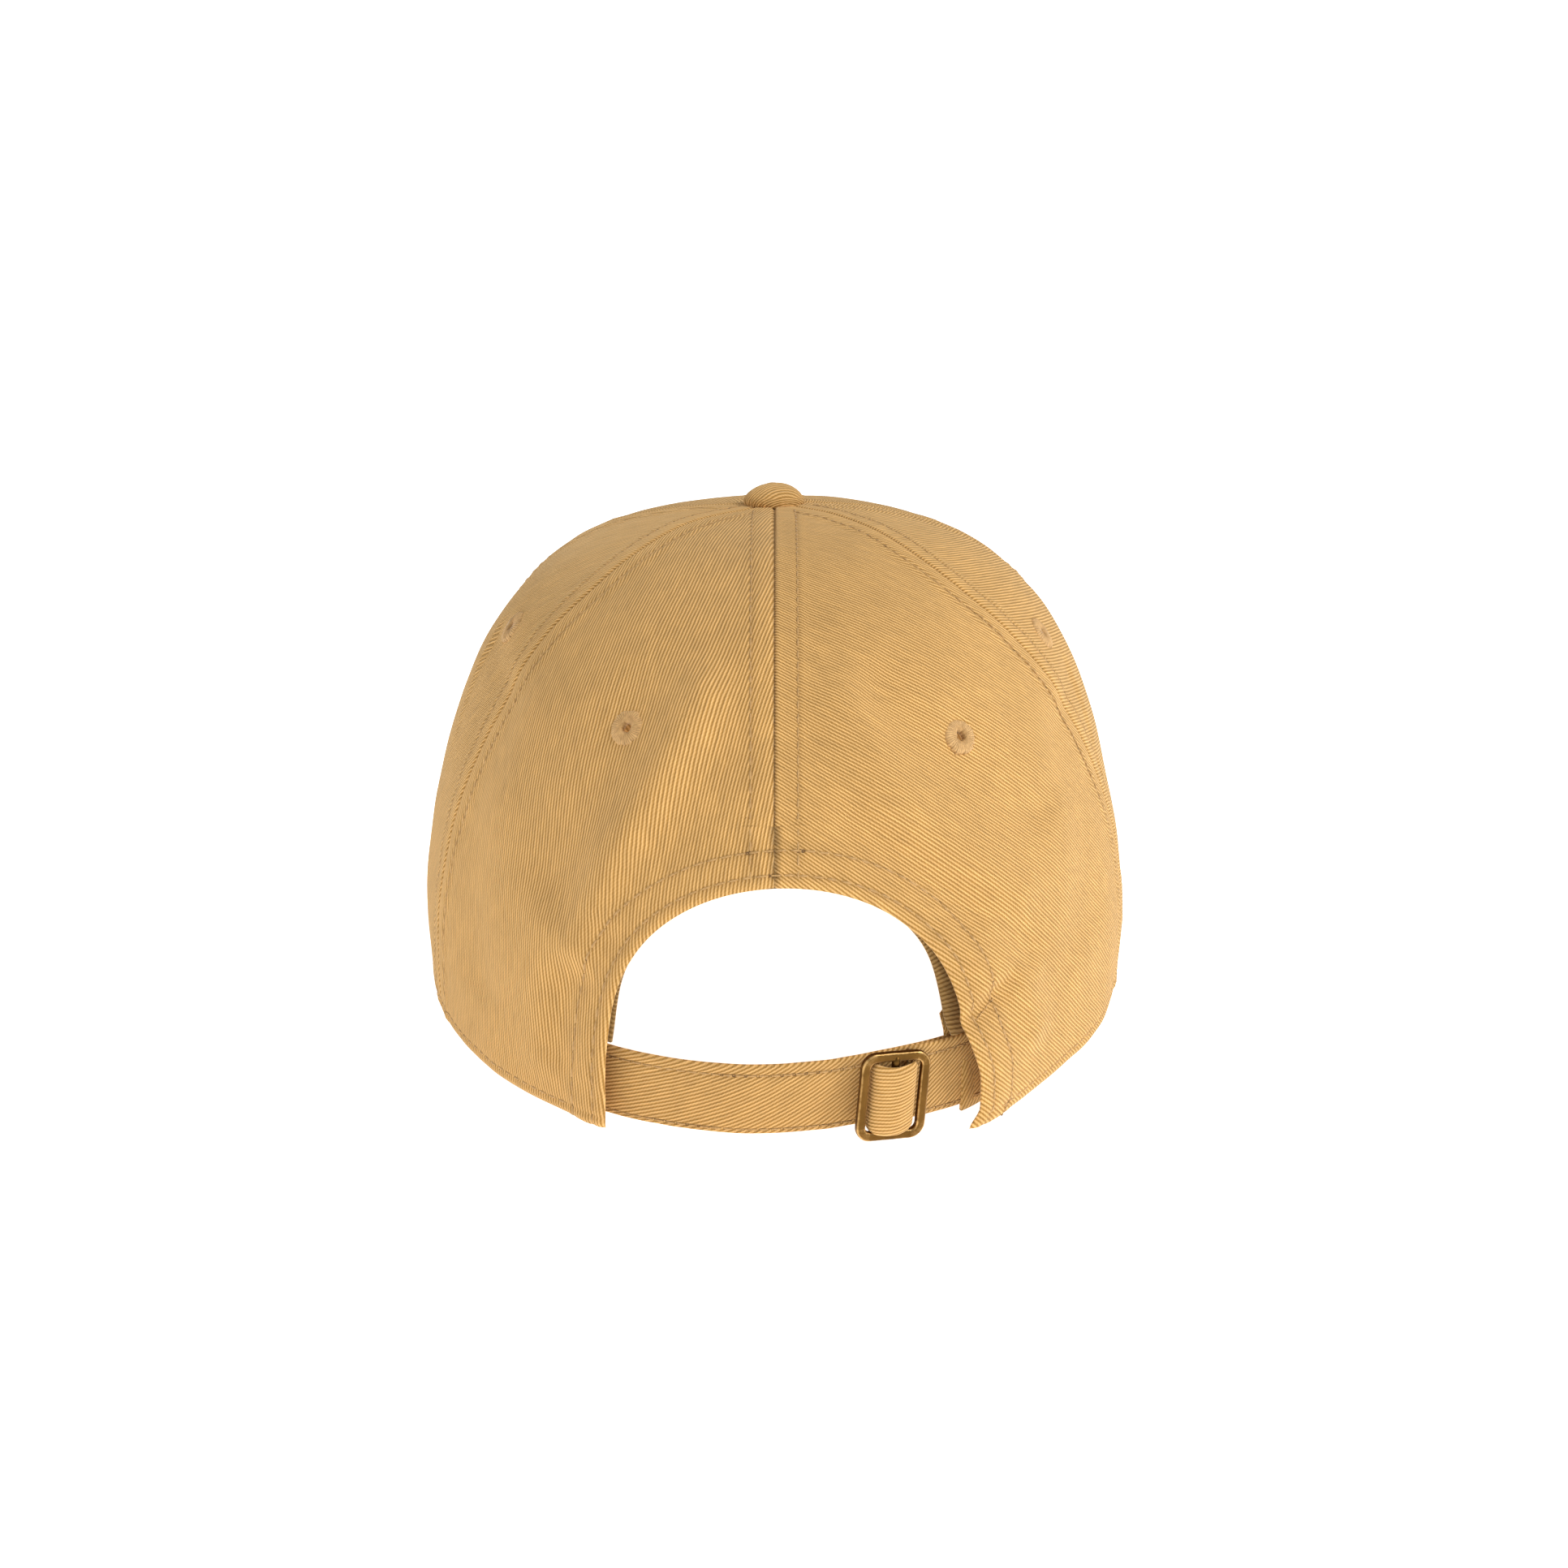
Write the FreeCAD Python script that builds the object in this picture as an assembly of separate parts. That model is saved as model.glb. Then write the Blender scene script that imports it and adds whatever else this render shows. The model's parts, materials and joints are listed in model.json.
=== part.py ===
"""Baseball cap: six cloth panels, a curved visor, and a cloth strap with a metal slide buckle.

Everything is modelled with the crown upright: X across the head, +Y towards the visor, +Z up,
with the rim of the back and sides at height 0. At the end the cap is leaned back until it rests
on the visor's two edges and on the back of the rim, and the middle of its footprint becomes the
origin. Places on the crown are given as a turn, in degrees round the rim from the middle of the
back, positive to +X, and a rise, from 0 at the rim to 1 at the tip.
"""
import FreeCAD, Part
import math
import os

Vector = FreeCAD.Vector
UP = Vector(0, 0, 1)

# ---- driving dimensions, millimetres and degrees ----
RIM_HALF_WIDTH = 82.0
RIM_HALF_LENGTH = 101.0
CROWN_HEIGHT = 106.6
CROWN_NOD = 11.0             # degrees by which the crown's tip leans forwards of its rim
SIDE_FULLNESS = 3.12         # power of the crown's outline: 2 is an ellipse, more is squarer
BACK_FULLNESS = 3.5
FRONT_FULLNESS = 2.8
SHOULDER_FULLNESS = 2.26
PANEL_THICK = 1.0
PANEL_GAP = 0.1              # between two panels, at their seam
TIP_RADIUS = 4.0             # hole that the six panels leave at the crown's tip
BACK_LEFT_SEAM_TURN = 71.0   # seam between a back and a side panel
BACK_RIGHT_SEAM_TURN = 81.0
FRONT_SEAM_TURN = 118.0      # seam between a side and a front panel
BACK_SEAM_TIP_TURN = 47.0    # where the side panels' seams meet the tip
FRONT_SEAM_TIP_TURN = 97.0

ARCH_HALF_WIDTH = 36.8
ARCH_SPRING = 24.0           # height at which the opening's round top begins
ARCH_TOP = 56.5
ARCH_SHIFT = 1.8             # the opening's middle lies a little to +X of the back seam
BINDING_WIDTH = 8.0
BINDING_THICK = 0.7

EYELET_RADIUS = 3.7
EYELET_HOLE_RADIUS = 1.1
EYELET_PROUD = 0.35          # how far the thread stands out of the cloth on each side
EYELET_PLACES = {"back_left": (-27.8, 0.319), "back_right": (35.4, 0.301),
                 "side_left": (-72.6, 0.391), "side_right": (74.2, 0.377),
                 "front_left": (-149.0, 0.390), "front_right": (149.0, 0.390)}

TAPE_WIDTH = 13.0
TAPE_THICK = 0.5
TAPE_END = 24.0              # from the crown's tip to the tapes' upper ends
LAYER_GAP = 0.2              # between two layers of cloth that lie on each other

SWEATBAND_HEIGHT = 31.0
SWEATBAND_THICK = 1.0
SWEATBAND_END_ROOM = 5.0     # of the band's ends from the rear opening's sides
SWEATBAND_LIFT = 1.0         # above the rim
LINING_HEIGHT = 20.0
LINING_THICK = 1.2
LINING_END_TURN = 92.0       # the lining runs round the front, from here to here
HEM_HEIGHT = 9.0
HEM_THICK = 0.6
HEM_START_TURN = 80.0
HEM_END_TURN = 112.0

VISOR_REACH = 70.0           # from the front seam to the visor's tip
VISOR_HALF_WIDTH = 86.0
VISOR_WIDEST = 58.0          # how far forward of the cap's middle the visor is widest
VISOR_SQUARENESS = 2.12
VISOR_PITCH = 12.0           # slope down to the tip
VISOR_BEND_RADIUS = 112.0
VISOR_ROOT_HEIGHT = 7.0      # top of the visor at the middle of its seam
VISOR_HORN_TURN = 61.0       # from the middle of the front to where the visor ends
VISOR_CLOTH_THICK = 0.7
VISOR_BOARD_THICK = 1.9
VISOR_EDGE_SEAM = 2.2        # turned cloth between the board and the visor's edge
VISOR_SEAM_DROP = 1.6        # rim of the front panels below the visor's top
ALLOWANCE_HEIGHT = 8.0       # visor's cloth that is sewn up inside the front panels
ALLOWANCE_THICK = 0.6

STRAP_WIDTH = 16.4
STRAP_THICK = 1.4
STRAP_LIFT = 1.8             # lower edge of the strap above the rim
STRAP_REACH_LEFT = 50.0      # half angles of the strap's arc, both ends hidden in the crown
STRAP_REACH_RIGHT = 45.0
STRAP_ARC_RADIUS = 72.0      # of the rim's outside, where the strap lies
STRAP_CLEARANCE = 0.3
TAB_WIDTH = 15.8
TAB_THICK = 1.2
TAB_END_ANGLE = 43.0
UNDER_RIM = 2.45             # from the rim's outside to the tab, cloth and room included
FOLD_THICK = 0.8

BUCKLE_ANGLE = 20.8          # of the buckle's middle, round the strap's arc
BUCKLE_LEAN = 5.0            # the buckle and its pivot stand a little askew on the strap
BUCKLE_WIDTH = 16.0
BUCKLE_BAR = 2.1
BUCKLE_THICK = 1.8
BUCKLE_CORNER = 3.4
BUCKLE_STRAP_ROOM = 0.3      # between the tab's edge and the buckle's window
BUCKLE_STAND_OFF = 1.3       # of the buckle's ring from the tab
PIVOT_RADIUS = 0.9
PIVOT_CLEARANCE = 0.08

BUTTON_RADIUS = 7.0
BUTTON_HEIGHT = 4.7
BUTTON_CLOTH = 0.6
BUTTON_METAL = 0.5
BUTTON_SEAT = 0.3            # above the crown's tip
RIVET_RADIUS = 1.5
WASHER_RADIUS = 6.5
WASHER_THICK = 0.6
WASHER_DROP = 2.6            # from the crown's tip to the washer's top
TACK_LENGTH = 9.0
TACK_WIDTH = 1.6
TACK_THICK = 0.5
FACING_LENGTH = 9.0
FACING_HEIGHT = 22.0
FACING_THICK = 0.6


# ---- the crown's shape ----
def visor_height(x, y):
    """Top of the visor: a sheet bent round a line that runs forwards and down."""
    slope = math.tan(math.radians(VISOR_PITCH))
    bend = VISOR_BEND_RADIUS - math.sqrt(VISOR_BEND_RADIUS ** 2 - x ** 2)
    return VISOR_ROOT_HEIGHT - slope * (y - RIM_HALF_LENGTH) - bend


def smooth_step(value):
    value = min(max(value, 0.0), 1.0)
    return value * value * (3 - 2 * value)


def near_turn(turn):
    """The same turn, counted from -180 to 180."""
    return (turn + 180.0) % 360.0 - 180.0


def rim_height(turn):
    """Height of the rim: 0 at the back and sides, on the visor's sheet at the front."""
    angle = math.radians(turn)
    x = RIM_HALF_WIDTH * math.sin(angle)
    y = -RIM_HALF_LENGTH * math.cos(angle)
    share = smooth_step((abs(near_turn(turn)) - 85.0) / (180.0 - VISOR_HORN_TURN - 85.0))
    return share * (visor_height(x, y) - VISOR_SEAM_DROP)


def crown_point(turn, rise):
    """The crown's outside: a dome that stands on the rim and leans forwards as it rises."""
    angle = math.radians(turn)
    back = math.cos(angle)
    end = BACK_FULLNESS if back > 0 else FRONT_FULLNESS
    fullness = SIDE_FULLNESS + (end - SIDE_FULLNESS) * back * back
    climb = math.pi / 2 * (1 - (1 - rise) ** 1.6)
    out = max(math.cos(climb), 0.0) ** (2 / fullness)
    up = math.sin(climb) ** (2 / SHOULDER_FULLNESS)
    low = rim_height(turn)
    lean = math.radians(CROWN_NOD) * up
    forward = -RIM_HALF_LENGTH * back * out
    height = low + (CROWN_HEIGHT - low) * up
    return Vector(RIM_HALF_WIDTH * math.sin(angle) * out,
                  forward * math.cos(lean) + height * math.sin(lean),
                  height * math.cos(lean) - forward * math.sin(lean))


def crown_inward(turn, rise):
    """Direction into the crown, square to its surface."""
    step = 0.004
    low = max(rise - step, 0.0005)
    high = min(rise + step, 0.9995)
    along = crown_point(turn + 0.4, rise) - crown_point(turn - 0.4, rise)
    up = crown_point(turn, high) - crown_point(turn, low)
    inward = up.cross(along)
    inward.normalize()
    return inward


def layer_point(turn, rise, depth):
    return crown_point(turn, rise) + crown_inward(turn, rise) * depth


def rise_at_height(turn, height):
    low, high = 0.0, 1.0
    for _ in range(40):
        middle = (low + high) / 2
        if crown_point(turn, middle).z < height:
            low = middle
        else:
            high = middle
    return low


TIP_RISE = 1 - TIP_RADIUS / (1.326 * RIM_HALF_WIDTH)


def thick_sheet(outer, inner):
    """Closed solid between two grids of points of the same size."""
    faces = []
    borders = []
    for grid in (outer, inner):
        surface = Part.BSplineSurface()
        surface.interpolate(grid)
        u0, u1, v0, v1 = surface.bounds()
        faces.append(surface.toShape())
        borders.append([surface.uIso(u0).toShape(), surface.vIso(v1).toShape(),
                        surface.uIso(u1).toShape(), surface.vIso(v0).toShape()])
    for edge_out, edge_in in zip(*borders):
        faces.append(Part.makeRuledSurface(edge_out, edge_in))
    shell = Part.Shell(faces)
    shell.sewShape()
    solid = Part.Solid(shell)
    if solid.Volume < 0:
        solid.reverse()
    return solid


def crown_layer(left, right, low, high, depth, thick, columns=7, rows=11):
    """Piece of cloth that follows the crown. left, right, low and high are functions: the
    turns of its sides at each rise, and its lowest and highest rise at each turn."""
    outer, inner = [], []
    for i in range(columns):
        share = i / (columns - 1)
        line_out, line_in = [], []
        for j in range(rows):
            climb = j / (rows - 1)
            guess = left(0.5) + (right(0.5) - left(0.5)) * share
            rise = low(guess) + (high(guess) - low(guess)) * climb
            turn = left(rise) + (right(rise) - left(rise)) * share
            deep = depth(turn) if callable(depth) else depth
            line_out.append(layer_point(turn, rise, deep))
            line_in.append(layer_point(turn, rise, deep + thick))
        outer.append(line_out)
        inner.append(line_in)
    return thick_sheet(outer, inner)


def side_shift(turn, rise, distance):
    """How many degrees of turn a distance along the rim is, at one place."""
    step = crown_point(turn + 0.5, rise) - crown_point(turn - 0.5, rise)
    return distance / step.Length


def seam_turn(turn, rise):
    """A seam's turn at one rise: the side panels' seams bend back towards the tip."""
    if turn in (0.0, 180.0, -180.0):
        return turn
    tip = FRONT_SEAM_TIP_TURN if abs(turn) == FRONT_SEAM_TURN else BACK_SEAM_TIP_TURN
    return turn + (math.copysign(tip, turn) - turn) * smooth_step((rise - 0.05) / 0.6)


def beside(turn, distance):
    """The line that keeps a distance from a seam, all the way up."""
    def line(rise):
        middle = seam_turn(turn, rise)
        return middle + side_shift(middle, rise, distance)
    return line


# ---- crown ----
SEAMS = {"back": 0.0, "back_right": BACK_RIGHT_SEAM_TURN, "front_right": FRONT_SEAM_TURN,
         "front": 180.0, "front_left": -FRONT_SEAM_TURN, "back_left": -BACK_LEFT_SEAM_TURN}
PANELS = {"back_right": (SEAMS["back"], SEAMS["back_right"]),
          "side_right": (SEAMS["back_right"], SEAMS["front_right"]),
          "front_right": (SEAMS["front_right"], SEAMS["front"]),
          "front_left": (-SEAMS["front"], SEAMS["front_left"]),
          "side_left": (SEAMS["front_left"], SEAMS["back_left"]),
          "back_left": (SEAMS["back_left"], SEAMS["back"])}


def arch_prism(grow, low):
    """The rear opening as a block that runs through the back of the crown."""
    half = ARCH_HALF_WIDTH + grow
    top = ARCH_TOP + grow
    left, right = ARCH_SHIFT - half, ARCH_SHIFT + half
    ellipse = Part.Ellipse(Vector(right, 0, ARCH_SPRING), Vector(ARCH_SHIFT, 0, top),
                           Vector(ARCH_SHIFT, 0, ARCH_SPRING))
    curve = Part.ArcOfEllipse(ellipse, 0, math.pi).toShape()
    ends = sorted((v.Point for v in curve.Vertexes), key=lambda p: p.x)
    corners = [ends[1], Vector(right, 0, low), Vector(left, 0, low), ends[0]]
    sides = [Part.makeLine(a, b) for a, b in zip(corners, corners[1:])]
    face = Part.Face(Part.Wire([curve] + sides))
    face.translate(Vector(0, -RIM_HALF_LENGTH - 20, 0))
    return face.extrude(Vector(0, 60, 0))


def eyelet_axis(panel):
    turn, rise = EYELET_PLACES[panel]
    middle = layer_point(turn, rise, PANEL_THICK / 2)
    return middle, crown_inward(turn, rise)


def crown_panel(panel):
    start, end = PANELS[panel]
    solid = crown_layer(beside(start, PANEL_GAP), beside(end, -PANEL_GAP),
                        lambda turn: 0.0, lambda turn: TIP_RISE, 0.0, PANEL_THICK, 9, 15)
    middle, inward = eyelet_axis(panel)
    drill = Part.makeCylinder(EYELET_RADIUS, 8, middle - inward * 4, inward)
    solid = solid.cut(drill)
    if panel.startswith("back"):
        solid = solid.cut(arch_prism(0, -20))
    return solid


def eyelet(panel):
    middle, inward = eyelet_axis(panel)
    length = PANEL_THICK + 2 * EYELET_PROUD
    start = middle - inward * (length / 2)
    ring = Part.makeCylinder(EYELET_RADIUS, length, start, inward)
    ring = ring.makeFillet(EYELET_PROUD, [e for e in ring.Edges if len(e.Vertexes) == 1])
    return ring.cut(Part.makeCylinder(EYELET_HOLE_RADIUS, length + 2, start - inward, inward))


def seam_tape(seam):
    turn = SEAMS[seam]
    bottom = SWEATBAND_LIFT + SWEATBAND_HEIGHT + LAYER_GAP
    if seam == "back":
        bottom = ARCH_TOP + BINDING_WIDTH + 2 * (PANEL_THICK + LAYER_GAP + TAPE_THICK)
    low = rise_at_height(turn, bottom + max(rim_height(turn), 0))
    high = 1 - TAPE_END / (1.326 * RIM_HALF_WIDTH)
    half = TAPE_WIDTH / 2
    return crown_layer(beside(turn, -half), beside(turn, half), lambda t: low, lambda t: high,
                       PANEL_THICK + LAYER_GAP, TAPE_THICK, 5, 11)


def arch_binding():
    deep = PANEL_THICK + LAYER_GAP
    sheet = crown_layer(lambda r: -40.0, lambda r: 40.0, lambda t: 0.02, lambda t: 0.5,
                        deep, BINDING_THICK, 15, 11)
    low = STRAP_LIFT + STRAP_WIDTH + STRAP_CLEARANCE
    ring = arch_prism(BINDING_WIDTH, low).cut(arch_prism(0.4, -20))
    return sheet.common(ring)


def hem_tape(side):
    start, end = sorted((side * HEM_START_TURN, side * HEM_END_TURN))
    return crown_layer(lambda r: start, lambda r: end, lambda t: 0.004,
                       lambda t: rise_at_height(t, rim_height(t) + HEM_HEIGHT),
                       PANEL_THICK + LAYER_GAP, HEM_THICK, 7, 4)


# ---- sweatband ----
def sweatband_depth(turn):
    """The band lies close to the panels, and behind the strap at the back."""
    front = PANEL_THICK + LAYER_GAP + HEM_THICK + 2 * LAYER_GAP + LINING_THICK
    back = UNDER_RIM + TAB_THICK + STRAP_THICK + 4 * STRAP_CLEARANCE
    share = smooth_step((abs(turn) - 62.0) / 26.0)
    return back + (front - back) * share


def sweatband():
    half = math.degrees(math.asin((ARCH_HALF_WIDTH + SWEATBAND_END_ROOM) / RIM_HALF_WIDTH))
    return crown_layer(lambda r: half, lambda r: 360.0 - half,
                       lambda t: rise_at_height(near_turn(t), rim_height(near_turn(t)) + SWEATBAND_LIFT),
                       lambda t: rise_at_height(
                           near_turn(t), rim_height(near_turn(t)) + SWEATBAND_LIFT + SWEATBAND_HEIGHT),
                       lambda t: sweatband_depth(near_turn(t)), SWEATBAND_THICK, 41, 5)


def sweatband_lining():
    start = ALLOWANCE_HEIGHT + 3.0
    return crown_layer(lambda r: LINING_END_TURN, lambda r: 360.0 - LINING_END_TURN,
                       lambda t: rise_at_height(near_turn(t), rim_height(near_turn(t)) + start),
                       lambda t: rise_at_height(
                           near_turn(t), rim_height(near_turn(t)) + start + LINING_HEIGHT - 2),
                       PANEL_THICK + 2 * LAYER_GAP + HEM_THICK, LINING_THICK, 31, 5)


def visor_allowance():
    """Edge of the visor's cloth, sewn up inside the front panels."""
    start = 180.0 - VISOR_HORN_TURN + 8.0
    return crown_layer(lambda r: start, lambda r: 360.0 - start, lambda t: 0.004,
                       lambda t: rise_at_height(near_turn(t), rim_height(near_turn(t)) + ALLOWANCE_HEIGHT),
                       PANEL_THICK + LAYER_GAP, ALLOWANCE_THICK, 21, 4)


# ---- visor ----
def visor_outline(inset, root_gap):
    """The visor seen from above: outer edge, two rounded horns, and the edge at the seam."""
    half = VISOR_HALF_WIDTH - inset
    length = RIM_HALF_LENGTH + VISOR_REACH - VISOR_WIDEST - inset
    power = 2 / VISOR_SQUARENESS
    outer = []
    steps = 24
    for i in range(steps + 1):
        angle = math.pi * i / steps
        x = half * math.copysign(abs(math.cos(angle)) ** power, math.cos(angle))
        outer.append(Vector(x, VISOR_WIDEST + length * math.sin(angle) ** power, 0))
    horn = math.radians(VISOR_HORN_TURN)
    wide, long = RIM_HALF_WIDTH + root_gap, RIM_HALF_LENGTH + root_gap
    root = []
    for i in range(steps + 1):
        angle = horn * (2 * i / steps - 1)
        root.append(Vector(wide * math.sin(angle), long * math.cos(angle), 0))
    edge = Part.BSplineCurve()
    edge.interpolate(outer, InitialTangent=Vector(0, 1, 0), FinalTangent=Vector(0, -1, 0))
    seam = Part.BSplineCurve()
    seam.interpolate(root)
    left = horn_curve(outer[-1], root[0])
    right = horn_curve(outer[0], root[-1])
    return Part.Face(Part.Wire(Part.__sortEdges__([edge.toShape(), left, seam.toShape(), right])))


def horn_curve(outside, inside):
    side = math.copysign(1, outside.x)
    middle = Vector(side * (abs(outside.x) + abs(inside.x)) / 2 + side * 1.6,
                    min(outside.y, inside.y) - 6.0, 0)
    curve = Part.BSplineCurve()
    curve.interpolate([outside, middle, inside], InitialTangent=Vector(0, -1, 0),
                      FinalTangent=Vector(-side * 0.5, 0.8, 0))
    return curve.toShape()


def visor_layer(depth, thick, inset, root_gap):
    half, near = VISOR_HALF_WIDTH + 6, VISOR_WIDEST - 30
    far = RIM_HALF_LENGTH + VISOR_REACH + 6
    grids = []
    for drop in (depth, depth + thick):
        grid = []
        for i in range(17):
            x = half * (i / 8 - 1)
            lean = math.asin(x / VISOR_BEND_RADIUS)
            line = []
            for j in range(4):
                y = near + (far - near) * j / 3
                across = x - drop * math.sin(lean)
                height = visor_height(x, y) - drop * math.cos(lean)
                line.append(Vector(across, y, height))
            grid.append(line)
        grids.append(grid)
    slab = thick_sheet(*grids)
    outline = visor_outline(inset, root_gap)
    outline.translate(Vector(0, 0, -120))
    return slab.common(outline.extrude(Vector(0, 0, 240)))


VISOR_STACK = 2 * VISOR_CLOTH_THICK + VISOR_BOARD_THICK + 2 * LAYER_GAP
VISOR_ROOT_GAP = 0.3


def visor_board():
    return visor_layer(VISOR_CLOTH_THICK + LAYER_GAP, VISOR_BOARD_THICK,
                       VISOR_EDGE_SEAM, VISOR_ROOT_GAP + 0.7)


def visor_edge_seam():
    """The two cloths' turned edges, folded round the rim of the board."""
    ring = visor_layer(VISOR_CLOTH_THICK + LAYER_GAP, VISOR_BOARD_THICK, 0.6, VISOR_ROOT_GAP)
    reach = RIM_HALF_LENGTH + VISOR_REACH
    inner = visor_outline(VISOR_EDGE_SEAM - LAYER_GAP, -1.0)
    inner.translate(Vector(0, 0, -120))
    ring = ring.cut(inner.extrude(Vector(0, 0, 240)))
    front = Part.makeBox(2 * reach, reach, 240, Vector(-reach, VISOR_WIDEST + 4, -120))
    return ring.common(front)


# ---- strap, tab and buckle ----
ARC_CENTRE = Vector(0, -RIM_HALF_LENGTH + STRAP_ARC_RADIUS, 0)
TAB_OUT = STRAP_ARC_RADIUS - UNDER_RIM
TAB_IN = TAB_OUT - TAB_THICK
STRAP_OUT = TAB_IN - STRAP_CLEARANCE
STRAP_IN = STRAP_OUT - STRAP_THICK
LOOP_RADIUS = PIVOT_RADIUS + PIVOT_CLEARANCE + FOLD_THICK
PIVOT_AT = TAB_OUT + BUCKLE_STAND_OFF + BUCKLE_THICK / 2
STRAP_MIDDLE = STRAP_LIFT + STRAP_WIDTH / 2
NECK_LENGTH = 6.2            # from the pivot to where the tab lies flat on the strap


def on_arc(angle, radius, height):
    turn = math.radians(angle)
    return ARC_CENTRE + Vector(radius * math.sin(turn), -radius * math.cos(turn), height)


def outward_at(angle):
    """Direction square to the strap, away from the head."""
    turn = math.radians(angle)
    return Vector(math.sin(turn), -math.cos(turn), 0)


def arc_band(start, end, inner, outer, low, high):
    """Band that stands on edge along the strap's arc."""
    middle = (start + end) / 2
    edges = [Part.Arc(on_arc(start, outer, low), on_arc(middle, outer, low),
                      on_arc(end, outer, low)).toShape(),
             Part.makeLine(on_arc(end, outer, low), on_arc(end, inner, low)),
             Part.Arc(on_arc(end, inner, low), on_arc(middle, inner, low),
                      on_arc(start, inner, low)).toShape(),
             Part.makeLine(on_arc(start, inner, low), on_arc(start, outer, low))]
    return Part.Face(Part.Wire(edges)).extrude(UP * (high - low))


def strap():
    return arc_band(-STRAP_REACH_LEFT, STRAP_REACH_RIGHT, STRAP_IN, STRAP_OUT,
                    STRAP_LIFT, STRAP_LIFT + STRAP_WIDTH)


def buckle_frame(shape):
    """Turn and move a shape from the buckle's own axes: X along the strap, Y outwards."""
    shape.rotate(Vector(0, 0, 0), Vector(0, 1, 0), -BUCKLE_LEAN)
    shape.rotate(Vector(0, 0, 0), UP, 180 + BUCKLE_ANGLE)
    shape.translate(on_arc(BUCKLE_ANGLE, PIVOT_AT, STRAP_MIDDLE))
    return shape


def rounded_plate(width, height, corner, thick):
    plate = Part.makeBox(width, thick, height, Vector(-width / 2, -thick / 2, -height / 2))
    corners = [e for e in plate.Edges if abs(e.Vertexes[0].Y - e.Vertexes[1].Y) > thick / 2]
    return plate.makeFillet(corner, corners)


def buckle():
    window_height = TAB_WIDTH + 2 * BUCKLE_STRAP_ROOM
    window_width = BUCKLE_WIDTH - 2 * BUCKLE_BAR
    height = window_height + 2 * BUCKLE_BAR
    ring = rounded_plate(BUCKLE_WIDTH, height, BUCKLE_CORNER, BUCKLE_THICK)
    inner = BUCKLE_CORNER - BUCKLE_BAR
    ring = ring.cut(rounded_plate(window_width, window_height, max(inner, 0.8), BUCKLE_THICK * 2))
    soft = [e for e in ring.Edges if e.BoundBox.YLength < 0.01]
    ring = ring.makeFillet(BUCKLE_THICK * 0.28, soft)
    reach = window_height / 2 + BUCKLE_BAR / 2
    pivot = Part.makeCylinder(PIVOT_RADIUS, 2 * reach, Vector(0, 0, -reach), UP)
    return buckle_frame(ring.fuse(pivot).removeSplitter())


def tube(inner, outer):
    """Sleeve round the pivot, as long as the tab is wide, in the buckle's own axes."""
    bottom = Vector(0, 0, -TAB_WIDTH / 2)
    return Part.makeCylinder(outer, TAB_WIDTH, bottom, UP).cut(
        Part.makeCylinder(inner, TAB_WIDTH, bottom, UP))


def strap_tab():
    """Short tab on the right: doubled cloth whose fold holds the buckle's pivot."""
    low, high = STRAP_MIDDLE - TAB_WIDTH / 2, STRAP_MIDDLE + TAB_WIDTH / 2
    loop_end = BUCKLE_ANGLE + math.degrees(5.2 / TAB_OUT)
    band = arc_band(loop_end, TAB_END_ANGLE, TAB_IN, TAB_OUT, low, high)
    neck_end = BUCKLE_ANGLE + math.degrees(NECK_LENGTH / TAB_OUT)
    step = math.degrees(1.0 / TAB_OUT)
    corners = [on_arc(BUCKLE_ANGLE + step, PIVOT_AT + LOOP_RADIUS * 0.55, low),
               on_arc(neck_end, TAB_OUT, low), on_arc(neck_end, TAB_IN, low),
               on_arc(BUCKLE_ANGLE + 1.2 * step, PIVOT_AT - LOOP_RADIUS * 0.78, low)]
    neck = Part.Face(Part.makePolygon(corners + corners[:1])).extrude(UP * TAB_WIDTH)
    middle = on_arc(BUCKLE_ANGLE, PIVOT_AT, STRAP_MIDDLE)
    neck.rotate(middle, outward_at(BUCKLE_ANGLE), -BUCKLE_LEAN)
    bore = PIVOT_RADIUS + PIVOT_CLEARANCE
    loop = buckle_frame(tube(bore, LOOP_RADIUS))
    hole = buckle_frame(Part.makeCylinder(bore, 2 * TAB_WIDTH, Vector(0, 0, -TAB_WIDTH), UP))
    return band.fuse([neck, loop]).cut(hole).removeSplitter()


def strap_fold():
    """The part of the strap that is folded over the pivot, outside the tab's loop."""
    inner = LOOP_RADIUS + LAYER_GAP
    size = 2 * (inner + FOLD_THICK)
    outer_half = Part.makeBox(size, size, TAB_WIDTH,
                              Vector(-size / 2, PIVOT_RADIUS * 0.6, -TAB_WIDTH / 2))
    return buckle_frame(tube(inner, inner + FOLD_THICK).common(outer_half))


def bar_tacks():
    """Dense stitch bars that hold the strap's and tab's ends to the crown."""
    height = STRAP_LIFT + STRAP_WIDTH + 1.0
    solids = []
    for side in (-1, 1):
        edge = ARCH_SHIFT + side * (ARCH_HALF_WIDTH + 2.0 + TACK_LENGTH / 2)
        turn = math.degrees(math.asin(edge / RIM_HALF_WIDTH))
        rise = rise_at_height(turn, height)
        outward = crown_inward(turn, rise) * -1
        along = UP.cross(outward)
        along.normalize()
        tack = Part.makeBox(TACK_LENGTH, TACK_THICK, TACK_WIDTH,
                            Vector(-TACK_LENGTH / 2, 0, -TACK_WIDTH / 2))
        tack = tack.makeFillet(0.2, tack.Edges)
        tack.rotate(Vector(0, 0, 0), UP, math.degrees(math.atan2(along.y, along.x)) + 180)
        tack.translate(crown_point(turn, rise) + outward * 0.25)
        solids.append(tack)
    return Part.Compound(solids)


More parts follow.
